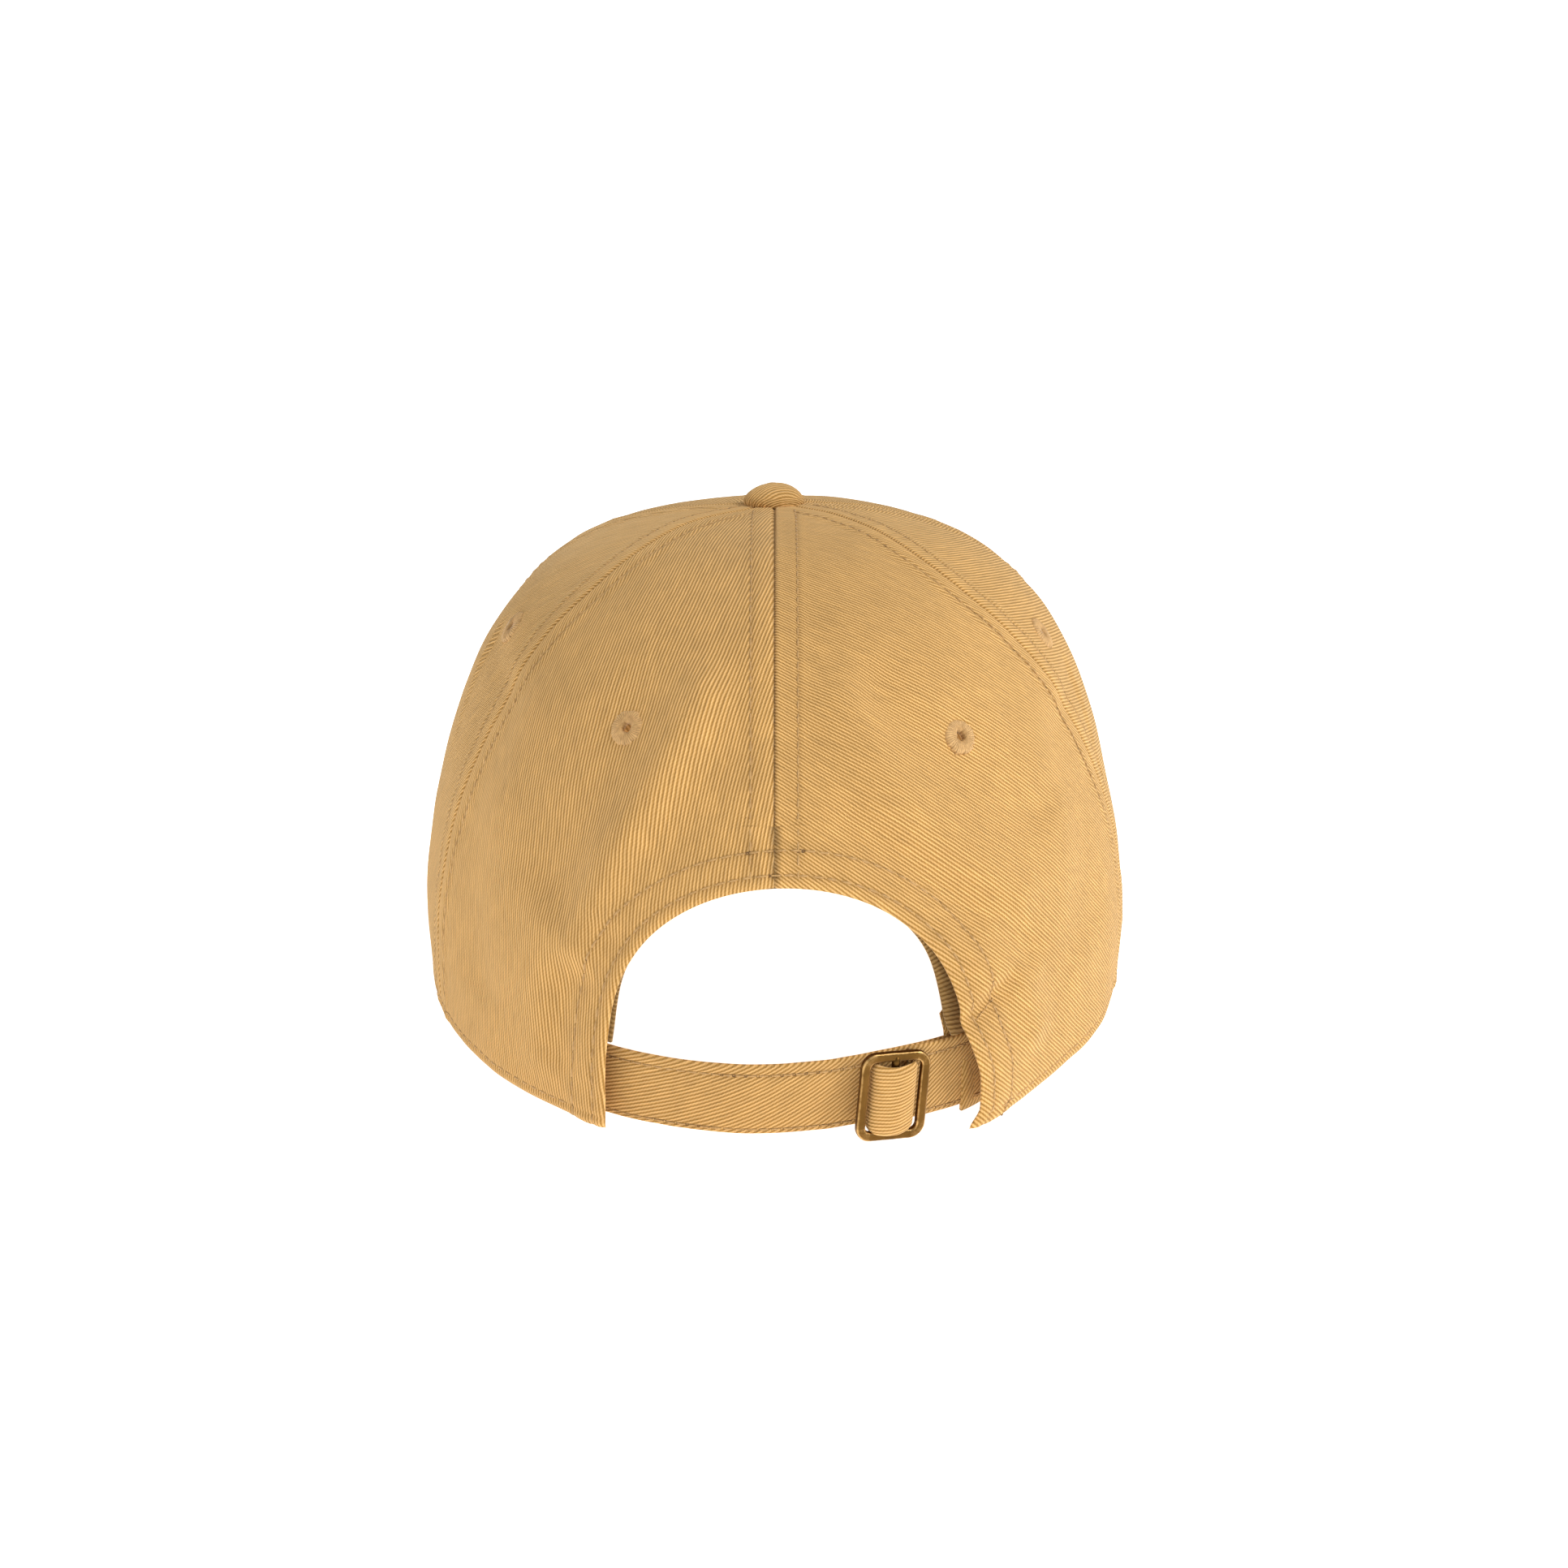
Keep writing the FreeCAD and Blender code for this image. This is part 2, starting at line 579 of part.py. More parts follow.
def tuck_facing():
    """Loose cloth edge just inside the right of the opening, behind which the tail is tucked."""
    start = math.degrees(math.asin((ARCH_HALF_WIDTH + ARCH_SHIFT - 1.0) / RIM_HALF_WIDTH))
    depth = sweatband_depth(start) + SWEATBAND_THICK + LAYER_GAP
    return crown_layer(lambda r: start, lambda r: start + side_shift(start, 0.1, FACING_LENGTH),
                       lambda t: 0.003, lambda t: rise_at_height(t, FACING_HEIGHT),
                       depth, FACING_THICK, 5, 5)


# ---- top button ----
def dome(radius, height, base):
    """Solid of revolution: a low button with a round top and a rolled edge."""
    edge = height * 0.45
    side = Part.Arc(Vector(radius - edge * 0.35, 0, base), Vector(radius, 0, base + edge * 0.5),
                    Vector(radius - edge * 0.12, 0, base + edge)).toShape()
    start = side.Vertexes[-1].Point
    top = Part.BSplineCurve()
    top.interpolate([start, Vector(radius * 0.55, 0, base + height * 0.88),
                     Vector(0, 0, base + height)],
                    InitialTangent=Vector(-0.3, 0, 0.6), FinalTangent=Vector(-1, 0, 0))
    low = Part.makeLine(Vector(0, 0, base), side.Vertexes[0].Point)
    axis = Part.makeLine(Vector(0, 0, base + height), Vector(0, 0, base))
    return Part.Face(Part.Wire([low, side, top.toShape(), axis])).revolve(
        Vector(0, 0, 0), UP, 360)


BUTTON_BASE = CROWN_HEIGHT + BUTTON_SEAT
INSIDE_TOP = CROWN_HEIGHT - WASHER_DROP


def at_tip(solid):
    """Leans an upright solid forwards with the crown's tip."""
    solid.rotate(Vector(0, 0, 0), Vector(1, 0, 0), -CROWN_NOD)
    return solid


def button_cover():
    shell_room = dome(BUTTON_RADIUS - BUTTON_CLOTH, BUTTON_HEIGHT - BUTTON_CLOTH, BUTTON_BASE - 0.01)
    return at_tip(dome(BUTTON_RADIUS, BUTTON_HEIGHT, BUTTON_BASE).cut(shell_room))


def button_shell():
    gap = 0.05
    outer = dome(BUTTON_RADIUS - BUTTON_CLOTH - gap, BUTTON_HEIGHT - BUTTON_CLOTH - gap, BUTTON_BASE)
    thin = BUTTON_CLOTH + BUTTON_METAL + gap
    inner = dome(BUTTON_RADIUS - thin, BUTTON_HEIGHT - thin, BUTTON_BASE - 0.01)
    return at_tip(outer.cut(inner))


def button_rivet():
    head = Part.makeCylinder(RIVET_RADIUS + 1.2, 0.8, Vector(0, 0, BUTTON_BASE), UP)
    bottom = INSIDE_TOP - WASHER_THICK - 0.5
    shank = Part.makeCylinder(RIVET_RADIUS, BUTTON_BASE - bottom + 0.4, Vector(0, 0, bottom), UP)
    return at_tip(head.fuse(shank).removeSplitter())


def button_washer():
    disc = Part.makeCylinder(WASHER_RADIUS, WASHER_THICK, Vector(0, 0, INSIDE_TOP - WASHER_THICK), UP)
    disc = disc.makeFillet(WASHER_THICK * 0.4, [e for e in disc.Edges if len(e.Vertexes) == 1])
    hole = Part.makeCylinder(RIVET_RADIUS + 0.02, 4, Vector(0, 0, INSIDE_TOP - 3), UP)
    return at_tip(disc.cut(hole))


# ---- all pieces ----
def all_pieces():
    pieces = {}
    for panel in PANELS:
        pieces["panel_" + panel] = crown_panel(panel)
        pieces["eyelet_" + panel] = eyelet(panel)
    for seam in SEAMS:
        pieces["seam_tape_" + seam] = seam_tape(seam)
    pieces["arch_binding"] = arch_binding()
    pieces["hem_tape_left"] = hem_tape(-1)
    pieces["hem_tape_right"] = hem_tape(1)
    pieces["sweatband"] = sweatband()
    pieces["sweatband_lining"] = sweatband_lining()
    pieces["visor_seam_allowance"] = visor_allowance()
    pieces["visor_upper_cloth"] = visor_layer(0.0, VISOR_CLOTH_THICK, 0.0, VISOR_ROOT_GAP)
    pieces["visor_board"] = visor_board()
    pieces["visor_edge_seam"] = visor_edge_seam()
    pieces["visor_lower_cloth"] = visor_layer(VISOR_STACK - VISOR_CLOTH_THICK, VISOR_CLOTH_THICK,
                                              0.0, VISOR_ROOT_GAP)
    pieces["strap"] = strap()
    pieces["strap_tab"] = strap_tab()
    pieces["strap_fold"] = strap_fold()
    pieces["buckle"] = buckle()
    pieces["bar_tacks"] = bar_tacks()
    pieces["tuck_facing"] = tuck_facing()
    pieces["button_cover"] = button_cover()
    pieces["button_shell"] = button_shell()
    pieces["button_rivet"] = button_rivet()
    pieces["button_washer"] = button_washer()
    return pieces


def corner_points(pieces, names):
    points = []
    for name in names:
        points.extend(pieces[name].tessellate(0.1)[0])
    return points


def resting_lean(pieces):
    """Angle at which the visor's edges and the back of the rim touch one level surface."""
    front = corner_points(pieces, ["visor_lower_cloth"])
    back = corner_points(pieces, ["buckle", "strap", "panel_back_left", "panel_back_right",
                                  "tuck_facing"])

    def lowest(points, angle):
        return min(p.y * math.sin(angle) + p.z * math.cos(angle) for p in points)

    low, high = 0.0, math.radians(25)
    for _ in range(40):
        middle = (low + high) / 2
        if lowest(front, middle) < lowest(back, middle):
            low = middle
        else:
            high = middle
    return math.degrees(low)


def set_down(pieces):
    """Lean the cap back, stand it at height 0, and put the origin in its footprint's middle."""
    lean = resting_lean(pieces)
    for shape in pieces.values():
        shape.rotate(Vector(0, 0, 0), Vector(1, 0, 0), lean)
    points = corner_points(pieces, pieces)
    low = [min(p[i] for p in points) for i in range(3)]
    high = [max(p[i] for p in points) for i in range(3)]
    shift = Vector(-(low[0] + high[0]) / 2, -(low[1] + high[1]) / 2, -low[2])
    for shape in pieces.values():
        shape.translate(shift)
    return lean, shift


def main():
    os.makedirs("parts", exist_ok=True)
    pieces = all_pieces()
    lean, shift = set_down(pieces)
    for name, shape in pieces.items():
        if not shape.isValid() or shape.Volume <= 0:
            print("bad solid:", name, shape.isValid(), shape.Volume)
        shape.exportStep("parts/" + name + ".step")
    turn = FreeCAD.Rotation(Vector(1, 0, 0), lean)
    askew = FreeCAD.Rotation(outward_at(BUCKLE_ANGLE), -BUCKLE_LEAN)
    print("lean %.4f degrees, shift %s" % (lean, tuple(round(v, 4) for v in shift)))
    pivot = on_arc(BUCKLE_ANGLE, PIVOT_AT, STRAP_MIDDLE)
    for name, point, axis in (("strap_adjust", ARC_CENTRE, UP),
                              ("buckle_swing", pivot, askew.multVec(UP))):
        print(name, "through", tuple(round(v, 4) for v in turn.multVec(point) + shift),
              "along", tuple(round(v, 6) for v in turn.multVec(axis)))


main()
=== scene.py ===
import json
import math
import bmesh
import bpy
from mathutils import Matrix, Vector, noise
from mathutils.kdtree import KDTree


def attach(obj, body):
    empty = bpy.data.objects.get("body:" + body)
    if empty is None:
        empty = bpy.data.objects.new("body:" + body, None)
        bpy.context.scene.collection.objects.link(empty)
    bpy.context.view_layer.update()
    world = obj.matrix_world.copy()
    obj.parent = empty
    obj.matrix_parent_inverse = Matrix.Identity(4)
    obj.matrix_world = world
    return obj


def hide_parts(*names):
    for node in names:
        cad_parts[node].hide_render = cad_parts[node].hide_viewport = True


# A washed cotton cap with six panels, a cloth strap and an antique brass slide buckle.
#
# Lengths are in millimetres in the crown's own upright frame: X across, +Y towards the visor, +Z
# up, the rim of the back and sides at height 0. place() takes a point from there to the packed
# frame, where the cap leans back. A turn is in degrees round the rim from the middle of the back,
# positive to +X, and a rise runs from 0 at the rim to 1 at the tip.

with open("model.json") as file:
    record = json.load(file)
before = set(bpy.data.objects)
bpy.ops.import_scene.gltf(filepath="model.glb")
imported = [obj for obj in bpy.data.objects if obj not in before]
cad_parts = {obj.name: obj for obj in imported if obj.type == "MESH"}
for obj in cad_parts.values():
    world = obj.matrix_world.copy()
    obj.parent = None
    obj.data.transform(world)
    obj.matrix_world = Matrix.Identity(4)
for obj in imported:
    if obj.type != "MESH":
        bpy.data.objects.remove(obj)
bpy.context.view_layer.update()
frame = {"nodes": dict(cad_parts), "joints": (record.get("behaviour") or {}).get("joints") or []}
scene = bpy.context.scene

# ---- the crown, as it was drafted ----
RIM_HALF_WIDTH = 82.0
RIM_HALF_LENGTH = 101.0
CROWN_HEIGHT = 106.6
CROWN_NOD = 11.0             # degrees by which the crown's tip leans forwards of its rim
SIDE_FULLNESS = 3.12
BACK_FULLNESS = 3.5
FRONT_FULLNESS = 2.8
SHOULDER_FULLNESS = 2.26
PANEL_THICK = 1.0
TIP_RADIUS = 4.0
TIP_SPREAD = 1.326 * RIM_HALF_WIDTH      # length of cloth that one unit of rise is, near the tip
TIP_RISE = 1 - TIP_RADIUS / TIP_SPREAD
SEAMS = {"back": 0.0, "back_right": 81.0, "front_right": 118.0,
         "front": 180.0, "front_left": -118.0, "back_left": -71.0}
TIP_TURNS = {81.0: 47.0, -71.0: -47.0, 118.0: 97.0, -118.0: -97.0}
PANELS = {"back_right": (0.0, 81.0), "side_right": (81.0, 118.0), "front_right": (118.0, 180.0),
          "front_left": (-180.0, -118.0), "side_left": (-118.0, -71.0), "back_left": (-71.0, 0.0)}
GRAIN = {"back_right": -43.0, "side_right": -12.0, "front_right": -35.0,
         "front_left": 62.0, "side_left": 58.0, "back_left": 97.0}
EYELET_PLACES = {"back_left": (-27.8, 0.319), "back_right": (35.4, 0.301),
                 "side_left": (-72.6, 0.391), "side_right": (74.2, 0.377),
                 "front_left": (-149.0, 0.390), "front_right": (149.0, 0.390)}
EYELET_RADIUS = 3.7
EYELET_HOLE_RADIUS = 1.1

ARCH_HALF_WIDTH = 36.8
ARCH_SPRING = 24.0
ARCH_TOP = 56.5
ARCH_SHIFT = 1.8
BAND_WIDTH = 12.0            # strip of panel round the opening that is drawn row by row
TOPSTITCH = 5.1              # from a seam to the row of stitches beside it
ARCH_ROWS = (2.6, 7.4)       # from the opening's edge to its two rows of stitches
HEM_ROW = 2.4                # from the rim to its row of stitches
STITCH_END = 8.5             # from the tip to the last stitch beside a seam
# Sewn detail, each as how far it goes into or out of the cloth or how much painted shade darkens it,
# and how wide it is
SEAM_SINK = (0.65, 0.42)
SEAM_PAINTED_SHADE = (0.48, 0.28)
ROW_SINK = (0.30, 0.55)
ROW_PAINTED_SHADE = (0.16, 0.45)
RIM_SINK = (0.55, 0.6)
HEM_ROW_SINK = (0.28, 0.5)
ARCH_SINK = (0.6, 0.6)
ARCH_ROW_SINK = (0.26, 0.5)
CREASE_GAIN = 2.2            # how much stronger the pressed folds are than drafted
EDGE_LIFTS = {1: (5.4, 48.0, 38.0, 12.0),    # the opening's edge stands out beside the strap: by
              -1: (1.9, 31.0, 20.0, 10.0)}   # how much, below what height, over what, how wide

TAPE_WIDTH = 13.0
TAPE_END = 24.0              # from the tip
SWEATBAND_HEIGHT = 31.0
SWEATBAND_LIFT = 1.0         # above the rim
SWEATBAND_END = math.degrees(math.asin((ARCH_HALF_WIDTH + 5.0) / RIM_HALF_WIDTH))   # its turn
HEM_CUT = 10.2               # a band narrower than this is cut this wide and turned under
VISOR_REACH = 70.0
VISOR_HALF_WIDTH = 86.0
VISOR_WIDEST = 58.0
VISOR_SQUARENESS = 2.12
VISOR_PITCH = 12.0
VISOR_BEND_RADIUS = 112.0
VISOR_ROOT_HEIGHT = 7.0
VISOR_HORN_TURN = 61.0
VISOR_SEAM_DROP = 1.6
VISOR_CLOTH_THICK = 0.7
VISOR_STACK = 3.7            # upper cloth, board, lower cloth and the gaps between them
VISOR_ROWS = (4.0, 10.0, 16.0, 22.0, 28.0, 34.0)

STRAP_ARC_RADIUS = 72.0
STRAP_MIDDLE = 10.0
STRAP_WIDTH = 16.4
STRAP_ROWS = (0.70, -0.86)   # its two rows of stitches, as shares of its half-width
TAB_OUT = 69.55
TAB_IN = 68.35
STRAP_OUT = 68.05
STRAP_IN = 66.65
STRAP_REACH_LEFT = 50.0
STRAP_REACH_RIGHT = 45.0
TAB_END_ANGLE = 43.0
TAB_WIDTH = 17.0
TAB_RISE = 0.9               # of the tab above the strap's middle line
BUCKLE_ANGLE = 20.8
BUCKLE_LEAN = 5.0
BUCKLE_WIDTH = 16.0
BUCKLE_HEIGHT = 20.6
BUCKLE_BAR = 2.1
BUCKLE_THICK = 1.8
BUCKLE_CORNER = 3.4
PIVOT_AT = 71.75
PIVOT_RADIUS = 0.9
BUTTON_RADIUS = 7.0
BUTTON_HEIGHT = 4.7
BUTTON_SEAT = 0.3

MM = 0.001
strap_joint = next(j for j in frame["joints"] if j["name"] == "strap_adjust")
strap_axis = Vector(strap_joint["axis"])
ARC_CENTRE = Vector((0, -RIM_HALF_LENGTH + STRAP_ARC_RADIUS, 0))
LEAN_ANGLE = math.atan2(-strap_axis.y, strap_axis.z)
LEAN = Matrix.Rotation(LEAN_ANGLE, 3, "X")
SHIFT = Vector(strap_joint["pos_m"]) - LEAN @ (ARC_CENTRE * MM)


def place(point):
    """From the crown's upright frame, in millimetres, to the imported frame, in metres."""
    return LEAN @ (point * MM) + SHIFT


# ---- shapes of the crown and the visor ----
def smooth_step(value):
    value = min(max(value, 0.0), 1.0)
    return value * value * (3 - 2 * value)


def mix(a, b, share):
    return a + (b - a) * share


def bell(distance, width):
    return math.exp(-(distance / width) ** 2)


def signed_power(value, power):
    """A power that keeps the value's sign: it squares off a circle."""
    return math.copysign(abs(value) ** power, value)


def lengths_along(points):
    """Distance along a line from its first point to each of its points."""
    lengths = [0.0]
    for a, b in zip(points, points[1:]):
        lengths.append(lengths[-1] + (b - a).length)
    return lengths


def bump_of(distance, size):
    """A soft bump whose height and width are given as a pair."""
    height, width = size
    return height * bell(distance, width)


def near_turn(turn):
    """The same turn, counted from -180 to 180."""
    return (turn + 180.0) % 360.0 - 180.0


def visor_height(x, y):
    bend = VISOR_BEND_RADIUS - math.sqrt(VISOR_BEND_RADIUS ** 2 - x ** 2)
    return VISOR_ROOT_HEIGHT - math.tan(math.radians(VISOR_PITCH)) * (y - RIM_HALF_LENGTH) - bend


def rim_height(turn):
    angle = math.radians(turn)
    x = RIM_HALF_WIDTH * math.sin(angle)
    y = -RIM_HALF_LENGTH * math.cos(angle)
    share = smooth_step((abs(near_turn(turn)) - 85.0) / (180.0 - VISOR_HORN_TURN - 85.0))
    return share * (visor_height(x, y) - VISOR_SEAM_DROP)


def crown_point(turn, rise):
    angle = math.radians(turn)
    back = math.cos(angle)
    end = BACK_FULLNESS if back > 0 else FRONT_FULLNESS
    fullness = SIDE_FULLNESS + (end - SIDE_FULLNESS) * back * back
    climb = math.pi / 2 * (1 - (1 - rise) ** 1.6)
    out = max(math.cos(climb), 0.0) ** (2 / fullness)
    up = math.sin(climb) ** (2 / SHOULDER_FULLNESS)
    low = rim_height(turn)
    lean = math.radians(CROWN_NOD) * up
    forward = -RIM_HALF_LENGTH * back * out
    height = low + (CROWN_HEIGHT - low) * up
    return Vector((RIM_HALF_WIDTH * math.sin(angle) * out,
                   forward * math.cos(lean) + height * math.sin(lean),
                   height * math.cos(lean) - forward * math.sin(lean)))


def crown_outward(turn, rise):
    step = 0.004
    along = crown_point(turn + 0.4, rise) - crown_point(turn - 0.4, rise)
    up = crown_point(turn, min(rise + step, 0.9995)) - crown_point(turn, max(rise - step, 0.0005))
    return along.cross(up).normalized()


def rise_at_height(turn, height):
    low, high = 0.0, 1.0
    for _ in range(30):
        middle = (low + high) / 2
        if crown_point(turn, middle).z < height:
            low = middle
        else:
            high = middle
    return low


def seam_turn(turn, rise):
    """A seam's turn at one rise: the side panels' seams bend back towards the tip."""
    return turn + (TIP_TURNS.get(turn, turn) - turn) * smooth_step((rise - 0.05) / 0.6)


def side_shift(turn, rise, distance):
    step = crown_point(turn + 0.5, rise) - crown_point(turn - 0.5, rise)
    return distance / step.length


def beside(turn, rise, distance):
    middle = seam_turn(turn, rise)
    return middle + side_shift(middle, rise, distance)


def evenly(line, count, first=0.0, last=1.0):
    """Shares of a line of points, spaced evenly along its length."""
    steps = 160
    shares = [mix(first, last, i / steps) for i in range(steps + 1)]
    lengths = lengths_along([line(s) for s in shares])
    found = []
    k = 0
    for i in range(count):
        goal = lengths[-1] * i / (count - 1)
        while k < steps - 1 and lengths[k + 1] < goal:
            k += 1
        part = (goal - lengths[k]) / max(lengths[k + 1] - lengths[k], 1e-9)
        found.append(mix(shares[k], shares[k + 1], min(part, 1.0)))
    return found


# ---- the opening at the back ----
def arch_flare(side, height):
    """How far the cloth's edge stands sideways of the drafted arch, near the strap."""
    if side > 0:
        return 3.1 * smooth_step((26.0 - height) / 16.0) - 2.0 * smooth_step((4.5 - height) / 4.5)
    return 1.0 * smooth_step((40.0 - height) / 30.0)


def arch_edge(side, share, grow):
    """Edge of the opening seen from behind, as x and height. share runs from the rim's corner
    to the back seam, and grow moves the line out into the cloth."""
    high = ARCH_TOP - ARCH_SPRING
    end = math.acos(-side * ARCH_SHIFT / ARCH_HALF_WIDTH)
    curve = (ARCH_HALF_WIDTH + high) / 2 * end
    along = share * (ARCH_SPRING + curve)

    def grown(angle, extra):
        x = ARCH_HALF_WIDTH * math.cos(angle)
        z = high * math.sin(angle)
        normal = Vector((math.cos(angle) / ARCH_HALF_WIDTH, math.sin(angle) / high)).normalized()
        return ARCH_SHIFT + side * (x + normal.x * extra), ARCH_SPRING + z + normal.y * extra

    if along < ARCH_SPRING:
        x, z = ARCH_SHIFT + side * (ARCH_HALF_WIDTH + grow), along
    else:
        angle = end * (along - ARCH_SPRING) / curve
        x, z = grown(angle, grow)
        x -= grown(end, grow)[0] * smooth_step((angle / end - 0.75) / 0.25)
    return x + side * arch_flare(side, z), z


def on_back(x, height):
    """Turn and rise of the place on the back that lies at x and at a height."""
    turn = math.degrees(math.asin(max(min(x / RIM_HALF_WIDTH, 0.97), -0.97)))
    rise = 0.3 * max(height, 0.0) / CROWN_HEIGHT
    for _ in range(9):
        here = crown_point(turn, rise)
        by_turn = (crown_point(turn + 0.2, rise) - here) / 0.2
        by_rise = (crown_point(turn, rise + 0.001) - here) / 0.001
        off_x, off_z = x - here.x, height - here.z
        size = by_turn.x * by_rise.z - by_rise.x * by_turn.z
        turn += (off_x * by_rise.z - by_rise.x * off_z) / size
        rise += max(min((by_turn.x * off_z - off_x * by_turn.z) / size, 0.1), -0.1)
        turn = max(min(turn, 80.0), -80.0)
        rise = max(min(rise, 0.6), 0.0)
    return turn, rise


def tree_of(points):
    tree = KDTree(len(points))
    for i, point in enumerate(points):
        tree.insert(point, i)
    tree.balance()
    return tree


def seam_line(seam):
    first = on_back(0, ARCH_TOP)[1] if seam == "back" else 0.0
    turn = SEAMS[seam]
    return [crown_point(seam_turn(turn, rise), rise)
            for rise in (mix(first, TIP_RISE, i / 400) for i in range(401))]


seam_tree = tree_of([point for seam in SEAMS for point in seam_line(seam)])
arch_tree = tree_of([Vector((x, 0, z)) for side in (-1, 1)
                     for x, z in (arch_edge(side, i / 400, 0) for i in range(401))])

# Folds that wear has pressed into the back, as lines of (x, height), with width and lift
CREASES = (
    (((-15, 91), (-21, 81), (-28, 70), (-35, 59), (-39, 48), (-42, 38)), 4.6, 1.15),
    (((-30, 88), (-36, 76), (-43, 64), (-49, 52)), 6.0, -0.5),
    (((-10, 82), (-17, 71), (-24, 63)), 5.0, -0.45),
    (((-37, 42), (-40, 36), (-45, 27), (-47, 14)), 4.2, -0.6),
    (((-50, 40), (-52, 26), (-51, 12)), 5.0, 0.55),
    (((-62, 78), (-67, 60), (-69, 40), (-67, 20)), 5.0, -0.6),
    (((14, 90), (21, 78), (31, 66), (42, 55), (52, 45)), 5.5, 0.75),
    (((24, 90), (34, 79), (46, 69), (58, 60)), 5.0, -0.6),
    (((17, 68), (27, 60), (38, 52), (47, 43), (54, 32)), 4.5, -0.7),
    (((46, 40), (52, 30), (56, 16)), 4.5, 0.8),
    (((36, 42), (42, 35), (49, 30), (56, 28)), 3.0, 0.4),
    (((40, 24), (44.5, 26), (50, 29)), 2.0, -0.8),
    (((66, 70), (71, 52), (71, 30)), 5.0, -0.5),
)


def line_distance(x, z, line):
    best = 1e9
    for (ax, az), (bx, bz) in zip(line, line[1:]):
        along, up = bx - ax, bz - az
        share = ((x - ax) * along + (z - az) * up) / (along * along + up * up)
        share = min(max(share, 0.0), 1.0)
        best = min(best, math.hypot(x - ax - along * share, z - az - up * share))
    return best


eyelet_centres = {name: crown_point(*spot) for name, spot in EYELET_PLACES.items()}


def eyelet_near(turn):
    for name, (start, end) in PANELS.items():
        if start - 14 <= turn <= end + 14 and abs(turn - EYELET_PLACES[name][0]) < 12:
            return eyelet_centres[name]
    return None


def relief(point, turn, rise):
    """How far the cloth stands out of the draft: slow swells, sewn detail, and its tone, with painted
    shade in the grooves of the seams and the rows of stitches.
    """
    slow = 0.75 * noise.noise(point / 34.0) + 0.28 * noise.noise(point / 13.0 + Vector((7, 0, 3)))
    fine = 0.0
    tone = 1.0
    seam = seam_tree.find(point)[2]
    pucker = noise.noise(point / 4.2)
    slow += 0.35 * (1 - smooth_step((seam - TOPSTITCH - 0.4) / 2.0)) - 0.35 * bell(seam, 22.0)
    fine -= bump_of(seam, SEAM_SINK)
    fine -= bump_of(seam - TOPSTITCH, ROW_SINK)
    fine += 0.22 * pucker * bell(seam - TOPSTITCH, 3.0)
    # painted shade: the tone darkens in each seam's groove and along the row of stitches beside it
    tone += (0.07 * bell(seam - 1.5, 1.0) - bump_of(seam, SEAM_PAINTED_SHADE)
             - bump_of(seam - TOPSTITCH, ROW_PAINTED_SHADE))
    rim = (point - crown_point(turn, 0)).length if rise < 0.2 else 20.0
    slow -= 1.2 * bell(rim, 9.0) * smooth_step((abs(turn) - 60.0) / 20.0)
    fine -= bump_of(rim, RIM_SINK) + bump_of(rim - HEM_ROW, HEM_ROW_SINK)
    fine += 0.16 * pucker * bell(rim - HEM_ROW, 2.2)
    tone += 0.06 * bell(rim, 0.9)
    if point.y < 0 and abs(turn) < 80:
        for line, width, lift in CREASES:
            slow += CREASE_GAIN * lift * bell(line_distance(point.x, point.z, line), width)
        edge = arch_tree.find(Vector((point.x, 0, point.z)))[2]
        if edge < 30:
            slow += 0.42 * (1 - smooth_step((edge - ARCH_ROWS[1] - 0.2) / 1.3))
            fine -= bump_of(edge, ARCH_SINK)
            # painted shade: below, the tone darkens along the opening's rows of stitches
            for row in ARCH_ROWS:
                fine -= bump_of(edge - row, ARCH_ROW_SINK)
                tone -= bump_of(edge - row, ROW_PAINTED_SHADE)
            fine += 0.2 * pucker * bell(edge - 5, 4.0)
            tone += 0.10 * bell(edge, 0.8)
            lift, top, over, wide = EDGE_LIFTS[1 if point.x > 0 else -1]
            slow += lift * smooth_step((top - point.z) / over) * bell(edge, wide)
    eyelet = eyelet_near(turn)
    if eyelet is not None:
        ring = (point - eyelet).length
        slow -= 0.35 * bell(ring, 7.0)
        fine += 0.12 * noise.noise(point / 1.8) * bell(ring - 4.0, 2.0)
    return slow, fine, tone


def surface_at(turn, rise, lift=0.0):
    """A point on the finished cloth and the direction out of it."""
    point = crown_point(turn, rise)
    outward = crown_outward(turn, rise)
    slow, fine, _ = relief(point, turn, rise)
    return point + outward * (slow + fine + lift), outward


# ---- meshes ----
def new_piece(name, vertices, faces, material, maps=None, tones=None):
    mesh = bpy.data.meshes.new(name)
    mesh.from_pydata([place(v) for v in vertices], [], faces)
    mesh.materials.append(material)
    mesh.polygons.foreach_set("use_smooth", [True] * len(mesh.polygons))
    corners = [v for polygon in mesh.polygons for v in polygon.vertices]
    if maps:
        layer = mesh.uv_layers.new(name="cloth")
        layer.uv.foreach_set("vector", [c for v in corners for c in maps[v]])
    tones = tones or [1.0] * len(vertices)
    mesh.attributes.new("tone", "FLOAT", "POINT").data.foreach_set("value", tones)
    mesh.validate()
    piece = bpy.data.objects.new(name, mesh)
    scene.collection.objects.link(piece)
    return piece


def lattice(rows, columns, round_about=False):
    """Faces between rows of points. With round_about, each row closes into a ring."""
    wide = columns if round_about else columns - 1
    return [(j * columns + i, j * columns + (i + 1) % columns,
             (j + 1) * columns + (i + 1) % columns, (j + 1) * columns + i)
            for j in range(rows - 1) for i in range(wide)]


def tube(rows, columns, base=0):
    """Faces of a tube of rings, with its two ends closed."""
    faces = [tuple(base + i for i in face) for face in lattice(rows, columns, True)]
    faces.append(tuple(base + i for i in reversed(range(columns))))
    faces.append(tuple(base + (rows - 1) * columns + i for i in range(columns)))
    return faces


